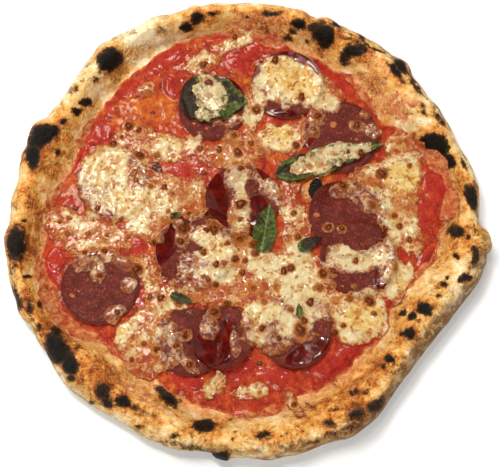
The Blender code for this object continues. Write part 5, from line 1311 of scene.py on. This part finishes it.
# Stations along the leaf and lanes across it, lifted, sunk along the rib and puckered between the veins.
def buildLeaf(number, sizes, floor):
    middleX, middleY, length, width, turn = sizes[:5]
    small = length < 20.0
    stations, lanes = (26, 9) if small else (90, 37)
    base = layBase(floor, 2.0, 2.0)
    u = -np.cos(np.linspace(0.02, math.pi - 0.02, stations))
    v = np.sin(np.linspace(-math.pi / 2, math.pi / 2, lanes))
    ragged = 1.0 + 0.035 * np.sin(u * 17.0 + number) + 0.12 * lumps(u * 12.0, 0.0 * u, 1.6, 90 + number)
    half = np.maximum(leafHalf(width, u) * ragged, 0.12)
    along = np.repeat(u[:, None] * length / 2, lanes, axis=1)
    across = half[:, None] * v
    reachAcross = np.abs(across) / (width / 2)
    lift = leafLift(number, sizes, along, across)
    rib = np.abs(across)
    phase = along / length * 9.0 - reachAcross * 1.6
    vein = np.abs(phase - np.round(phase))
    pucker = 0.35 * np.cos(vein * tau) * soften(rib / 2.0) * (0.0 if small else 1.0)
    lift = lift - pucker * 0.9 - 0.35 * np.exp(-(rib / 0.9) ** 2)
    angle = math.radians(turn)
    x = middleX + along * math.cos(angle) - across * math.sin(angle)
    y = middleY + along * math.sin(angle) + across * math.cos(angle)
    lift = lift + 0.3 * rough(x, y, 5.0, 80 + number)
    bottom = readGrid(base, x, y) + basil["gap"] + np.maximum(lift, 0.0)
    top = bottom + basil["thickness"] * 0.75
    count = x.size
    points = np.concatenate([pointList(x, y, level) for level in (top, bottom)])
    i, j = np.meshgrid(np.arange(stations - 1), np.arange(lanes - 1), indexing="ij")
    a = (i * lanes + j).ravel()
    quads = np.stack([a, a + lanes, a + lanes + 1, a + 1], axis=-1)
    border = np.concatenate([np.arange(stations) * lanes, (stations - 1) * lanes + np.arange(1, lanes),
                             (np.arange(stations - 1) * lanes + lanes - 1)[::-1], np.arange(1, lanes - 1)[::-1]])
    p, q = border, np.roll(border, -1)
    walls = np.stack([p, p + count, q + count, q], axis=-1)
    ribMask = np.exp(-(rib / (0.5 if small else 0.8)) ** 2)
    ribMask = ribMask + 0.7 * np.exp(-(vein / 0.09) ** 2) * (0.0 if small else 1.0)
    attributes = {"vein": np.tile(np.clip(ribMask, 0.0, 1.0).ravel(), 2),
                  "scorch": np.tile(ovalMask(x, y, basil["scorch"], 1.5).ravel(), 2)}
    name = f"basil_{number:02d}"
    faces = [quads, quads[:, ::-1] + count, walls]
    makePiece(name, points, faces, basilMaterial, attributes, [name], basil["sharpAngle"])
    alongGrid = (gridX - middleX) * math.cos(angle) + (gridY - middleY) * math.sin(angle)
    acrossGrid = (gridY - middleY) * math.cos(angle) - (gridX - middleX) * math.sin(angle)
    place = np.clip(alongGrid / (length / 2), -1.0, 1.0)
    inside = (np.abs(acrossGrid) < leafHalf(width, place)) & (np.abs(alongGrid) < length / 2)
    surface = base + basil["gap"] + leafLift(number, sizes, alongGrid, acrossGrid) + basil["thickness"]
    return np.where(inside, np.maximum(floor, surface), floor)


def makeBasilMaterial():
    material, inputs, point, read = newMaterial("basil", {"Roughness": 0.5, "Specular IOR Level": 0.2})
    middle, fine = noise(point, 5.0, 5.0, 0.65), noise(point, 1.4, 4.0, 0.65)
    shade = addNoise(middle, fine, 0.6)
    colour = ramp(shade, (0.22, "161906"), (0.4, "2d3610"), (0.56, "4a561f"), (0.72, "6c7731"), (0.88, "a0a35a"))
    colour = laid(colour, ease(breakUp(read("vein"), 3.0, 0.6), 0.35, 1.0), 0.5, "7f8c55")
    scorched = mixColour(ease(fine, 0.35, 0.7), "120d07", "3c2814")
    colour = mixColour(ease(breakUp(read("scorch"), 3.0, 0.9), 0.3, 0.7), colour, scorched)
    plug(colour, inputs["Base Color"])
    plug(bump(shade, 0.6, 0.8), inputs["Normal"])
    return material


basilMaterial = makeBasilMaterial()
for number, sizes in enumerate(basil["leaves"], start=1):
    field = buildLeaf(number, sizes, field)


leafCheese = {
    "pools": ((-25.0, 84.0, 17.0, 11.0, 95.0), (53.0, 41.8, 35.0, 8.6, 17.0)),
    "step": 0.7,
    "sheetHalf": 100.0,
    "thickness": 0.75,        # a share of the other cheese's
    "sunk": 0.25,
    "opaque": (0.7, 0.32),    # times this, plus that
}


# On each large leaf one pool with a ragged edge, made as the other cheese is.
def buildLeafCheese():
    result = field
    share = leafCheese["thickness"]
    for number, pool in enumerate(leafCheese["pools"], start=1):
        def reach(x, y, pool=pool):
            return ovalReach(x, y, pool) + 3.0 * lumps(x, y, 10.0, 33) + 2.6 * rough(x, y, 5.0, 35)

        x, y, value, kept = sheetPlan(reach, leafCheese["step"], leafCheese["sheetHalf"])
        labels = connectedParts(kept)
        names, counts = np.unique(labels[labels >= 0], return_counts=True)
        kept = labels == names[np.argmax(counts)]
        base = layBase(result, 1.0, 1.0)
        top = readGrid(base, x, y) + cheese["lift"] + share * cheeseThickness(x, y, value)
        bottom = readGrid(result, x, y) - leafCheese["sunk"]
        points, faces, used = slabMesh(kept, x, y, top, bottom)
        attributes = cheeseAttributes(points[:, 0], points[:, 1], np.tile(value.ravel()[used], 2), onLeaf=True)
        factor, added = leafCheese["opaque"]
        attributes["opaque"] = attributes["opaque"] * factor + added
        name = f"cheese_on_basil_{number:02d}"
        makePiece(name, points, faces, cheeseMaterial, attributes, [name])
        inside = reach(gridX, gridY)
        surface = base + cheese["lift"] + share * cheeseThickness(gridX, gridY, np.maximum(inside, 0.0))
        result = np.where(inside > 0.0, np.maximum(result, surface), result)
    return result


field = buildLeafCheese()


blister = {
    "height": 0.2,            # of the width
    "domed": 0.5,             # the paler ones are only stains
    "bigSides": 20,
    "bigRings": (0.3, 0.6, 0.85, 1.0),
    "smallSides": 10,
    "smallRings": (0.45, 0.8, 1.0),
    "smallCount": 190,        # scattered between the others
    "smallWidth": (1.2, 2.9),
    "smallDark": (-0.2, 0.3),
    "sunk": 0.05,
}
print("blisters")


# Domes of height * width * (1 - share^2)^0.7 on the surface, all of one template joined in one mesh.
# The pale ones are open: a bell curve of the share is taken out of their middle.
def buildBlisters(name, spots, sides, shares):
    spots = np.asarray(spots, float)
    shares = np.asarray(shares)
    turns = np.arange(sides) / sides * tau
    phase = rng.uniform(0.0, tau, (len(spots), 1))
    wobble = 0.82 + 0.14 * np.sin(2.0 * turns + phase)
    wobble = wobble + 0.1 * np.sin(3.0 * turns + 2.0 * phase) + 0.06 * np.sin(5.0 * turns + 3.0 * phase)
    radius = spots[:, 2, None] / 2 * wobble
    x = spots[:, 0, None, None] + shares[None, :, None] * (radius * np.cos(turns))[:, None, :]
    y = spots[:, 1, None, None] + shares[None, :, None] * (radius * np.sin(turns))[:, None, :]
    ground = readGrid(blisterGround, x, y)
    tall = blister["height"] * spots[:, 2] * (0.35 + 0.65 * soften((spots[:, 3] - 0.3) / 0.4))
    dent = 0.8 * soften((0.65 - spots[:, 3]) / 0.3)
    dome = (1.0 - shares ** 2) ** 0.7 - dent[:, None] * np.exp(-(shares / 0.45) ** 2)
    z = ground - blister["sunk"] + (tall[:, None] * dome)[:, :, None]
    centreDome = tall * (1.0 - dent)
    centreGround = readGrid(blisterGround, spots[:, 0], spots[:, 1])
    ringCount = len(shares)
    each = ringCount * sides + 2
    body = np.stack([x, y, z], axis=-1).reshape(len(spots), -1, 3)
    tops = np.stack([spots[:, 0], spots[:, 1], centreGround - blister["sunk"] + centreDome], axis=-1)[:, None]
    feet = np.stack([spots[:, 0], spots[:, 1], ground[:, -1].min(axis=1) - 0.6], axis=-1)[:, None]
    points = np.concatenate([body, tops, feet], axis=1).reshape(-1, 3)
    quads = ringFaces(ringCount, sides, flip=True)
    caps = np.concatenate([fanFaces(ringCount * sides, 0, sides),
                           fanFaces(ringCount * sides + 1, (ringCount - 1) * sides, sides, flip=True)])
    shift = (np.arange(len(spots)) * each)[:, None, None]
    faces = [(quads[None] + shift).reshape(-1, 4), (caps[None] + shift).reshape(-1, 3)]
    shareAll = np.concatenate([np.broadcast_to(shares[None, :, None], x.shape).reshape(len(spots), -1),
                               np.zeros((len(spots), 1)), np.ones((len(spots), 1))], axis=1).ravel()
    bare = (cheeseReach(spots[:, 0], spots[:, 1]) < 0.3) * 1.0
    attributes = {"share": shareAll, "dark": np.repeat(spots[:, 3], each), "bare": np.repeat(bare, each)}
    makePiece(name, points, faces, blisterMaterial, attributes, ())


def makeBlisterMaterial():
    material, inputs, point, read = newMaterial("cheeseBlister", {"Roughness": 0.2, "Specular IOR Level": 0.16})
    middle, fine = noise(point, 3.0, 3.0), noise(point, 1.0, 4.0, 0.65)
    share = addNoise(addNoise(read("share"), fine, 0.35), middle, 0.5)
    pale = ramp(share, (0.1, "b56c22"), (0.4, "9a4f14"), (0.6, "ac621a"), (0.8, "c6822a"), (1.0, "d79c44"))
    # The dark ramp is lighter in the middle of each dome than round it: partly the blister's own colour, partly a
    # painted highlight on its top.
    dark = ramp(share, (0.1, "7e3a14"), (0.4, "5a240c"), (0.62, "451907"), (0.8, "7c3d11"), (1.0, "b46c1f"))
    bare = ramp(share, (0.1, "7c4423"), (0.45, "552110"), (0.7, "5c2718"), (0.86, "80442e"), (1.0, "6a2a20"))
    colour = mixColour(ease(addNoise(read("dark"), middle, 0.5), 0.1, 0.7), pale, dark)
    plug(mixColour(ease(read("bare"), 0.3, 0.7), colour, bare), inputs["Base Color"])
    plug(bump(fine, 0.4, 0.4), inputs["Normal"])
    return material


blisterMaterial = makeBlisterMaterial()
blisterGround = blurred(field, 0.5)
domes = [spot for spot in cheese["blisters"] if spot[3] >= blister["domed"]]
buildBlisters("cheese_blisters", domes, blister["bigSides"], blister["bigRings"])


# Random places that lie in the cheese and clear of every blister so far.
def scatterSmall():
    tries = rng.uniform(-130.0, 130.0, (6000, 2))
    inside = cheeseReach(tries[:, 0], tries[:, 1])
    known = np.asarray(cheese["blisters"])[:, :3]
    spots = []
    for (x, y), depth in zip(tries, inside):
        if depth < 1.5 or len(spots) >= blister["smallCount"]:
            continue
        width = rng.uniform(*blister["smallWidth"])
        if (np.hypot(known[:, 0] - x, known[:, 1] - y) < known[:, 2] / 2 + width).any():
            continue
        if any(math.hypot(a - x, b - y) < (c + width) for a, b, c, _ in spots):
            continue
        spots.append((x, y, width, rng.uniform(*blister["smallDark"])))
    return spots


buildBlisters("cheese_small_blisters", scatterSmall(), blister["smallSides"], blister["smallRings"])


stage = {
    "floorColour": "ecf0f9",
    "floorReach": 2.5,
    "lightColour": (1.0, 0.95, 0.85),
    # place, size, power
    "lamps": {
        "key": ((-0.4, 0.42, 1.1), 0.3, 8.9),
        "second": ((-0.1, -0.52, 1.1), 0.25, 5.3),
        "far": ((-0.08, 0.78, 0.98), 0.16, 3.2),      # lights the walls that face away from the camera
        "glint": ((-0.12, 0.26, 1.15), 0.035, 2.2),   # its mirror image falls on level surfaces
    },
    "softPower": {35: 1.9, 125: 1.9, 215: 2.4, 305: 2.4},     # by bearing
    "softSize": 0.9,
    "softRadius": 1.25,
    "softLevel": 0.95,
    "worldStrength": 0.1,
    "sensor": 36.0,
    "lens": 69.4,
    "target": (0.0015, -0.0103, 0.008),
}
print("stage")


def buildFloor():
    mesh = bpy.data.meshes.new("floor")
    reach = stage["floorReach"]
    corners = [(-reach, -reach, 0.0), (reach, -reach, 0.0), (reach, reach, 0.0), (-reach, reach, 0.0)]
    mesh.from_pydata(corners, [], [(0, 1, 2, 3)])
    floor = bpy.data.objects.new("floor", mesh)
    bpy.context.scene.collection.objects.link(floor)
    mesh.materials.append(newMaterial("paleFloor", {"Base Color": stage["floorColour"], "Roughness": 0.9,
                                                    "Specular IOR Level": 0.1})[0])


def addLight(name, place, size, power):
    lamp = bpy.data.lights.new(name, "AREA")
    lamp.shape = "SQUARE"
    lamp.size = size
    lamp.energy = power
    lamp.color = stage["lightColour"]
    light = bpy.data.objects.new(name, lamp)
    light.location = place
    light.rotation_mode = "QUATERNION"
    light.rotation_quaternion = (-Vector(place)).to_track_quat("-Z", "Y")
    bpy.context.scene.collection.objects.link(light)


buildFloor()
for name, (place, size, power) in stage["lamps"].items():
    addLight(name, place, size, power)
for number, (bearing, power) in enumerate(stage["softPower"].items()):
    turn, radius = math.radians(bearing), stage["softRadius"]
    place = (radius * math.cos(turn), radius * math.sin(turn), stage["softLevel"])
    addLight(f"soft_{number}", place, stage["softSize"], power)

world = bpy.data.worlds.new("room")
world.use_nodes = True
background = world.node_tree.nodes["Background"].inputs
background["Color"].default_value = (*stage["lightColour"], 1.0)
background["Strength"].default_value = stage["worldStrength"]
bpy.context.scene.world = world
bpy.context.scene.view_settings.view_transform = "Standard"

# Seen from 74 degrees above the near side, 620 mm away.
cameraData = bpy.data.cameras.new("camera")
cameraData.sensor_width = stage["sensor"]
cameraData.lens = stage["lens"]
camera = bpy.data.objects.new("camera", cameraData)
camera.location = Vector(eye) * mm
camera.rotation_mode = "QUATERNION"
camera.rotation_quaternion = (Vector(stage["target"]) - camera.location).to_track_quat("-Z", "Y")
bpy.context.scene.collection.objects.link(camera)
bpy.context.scene.camera = camera
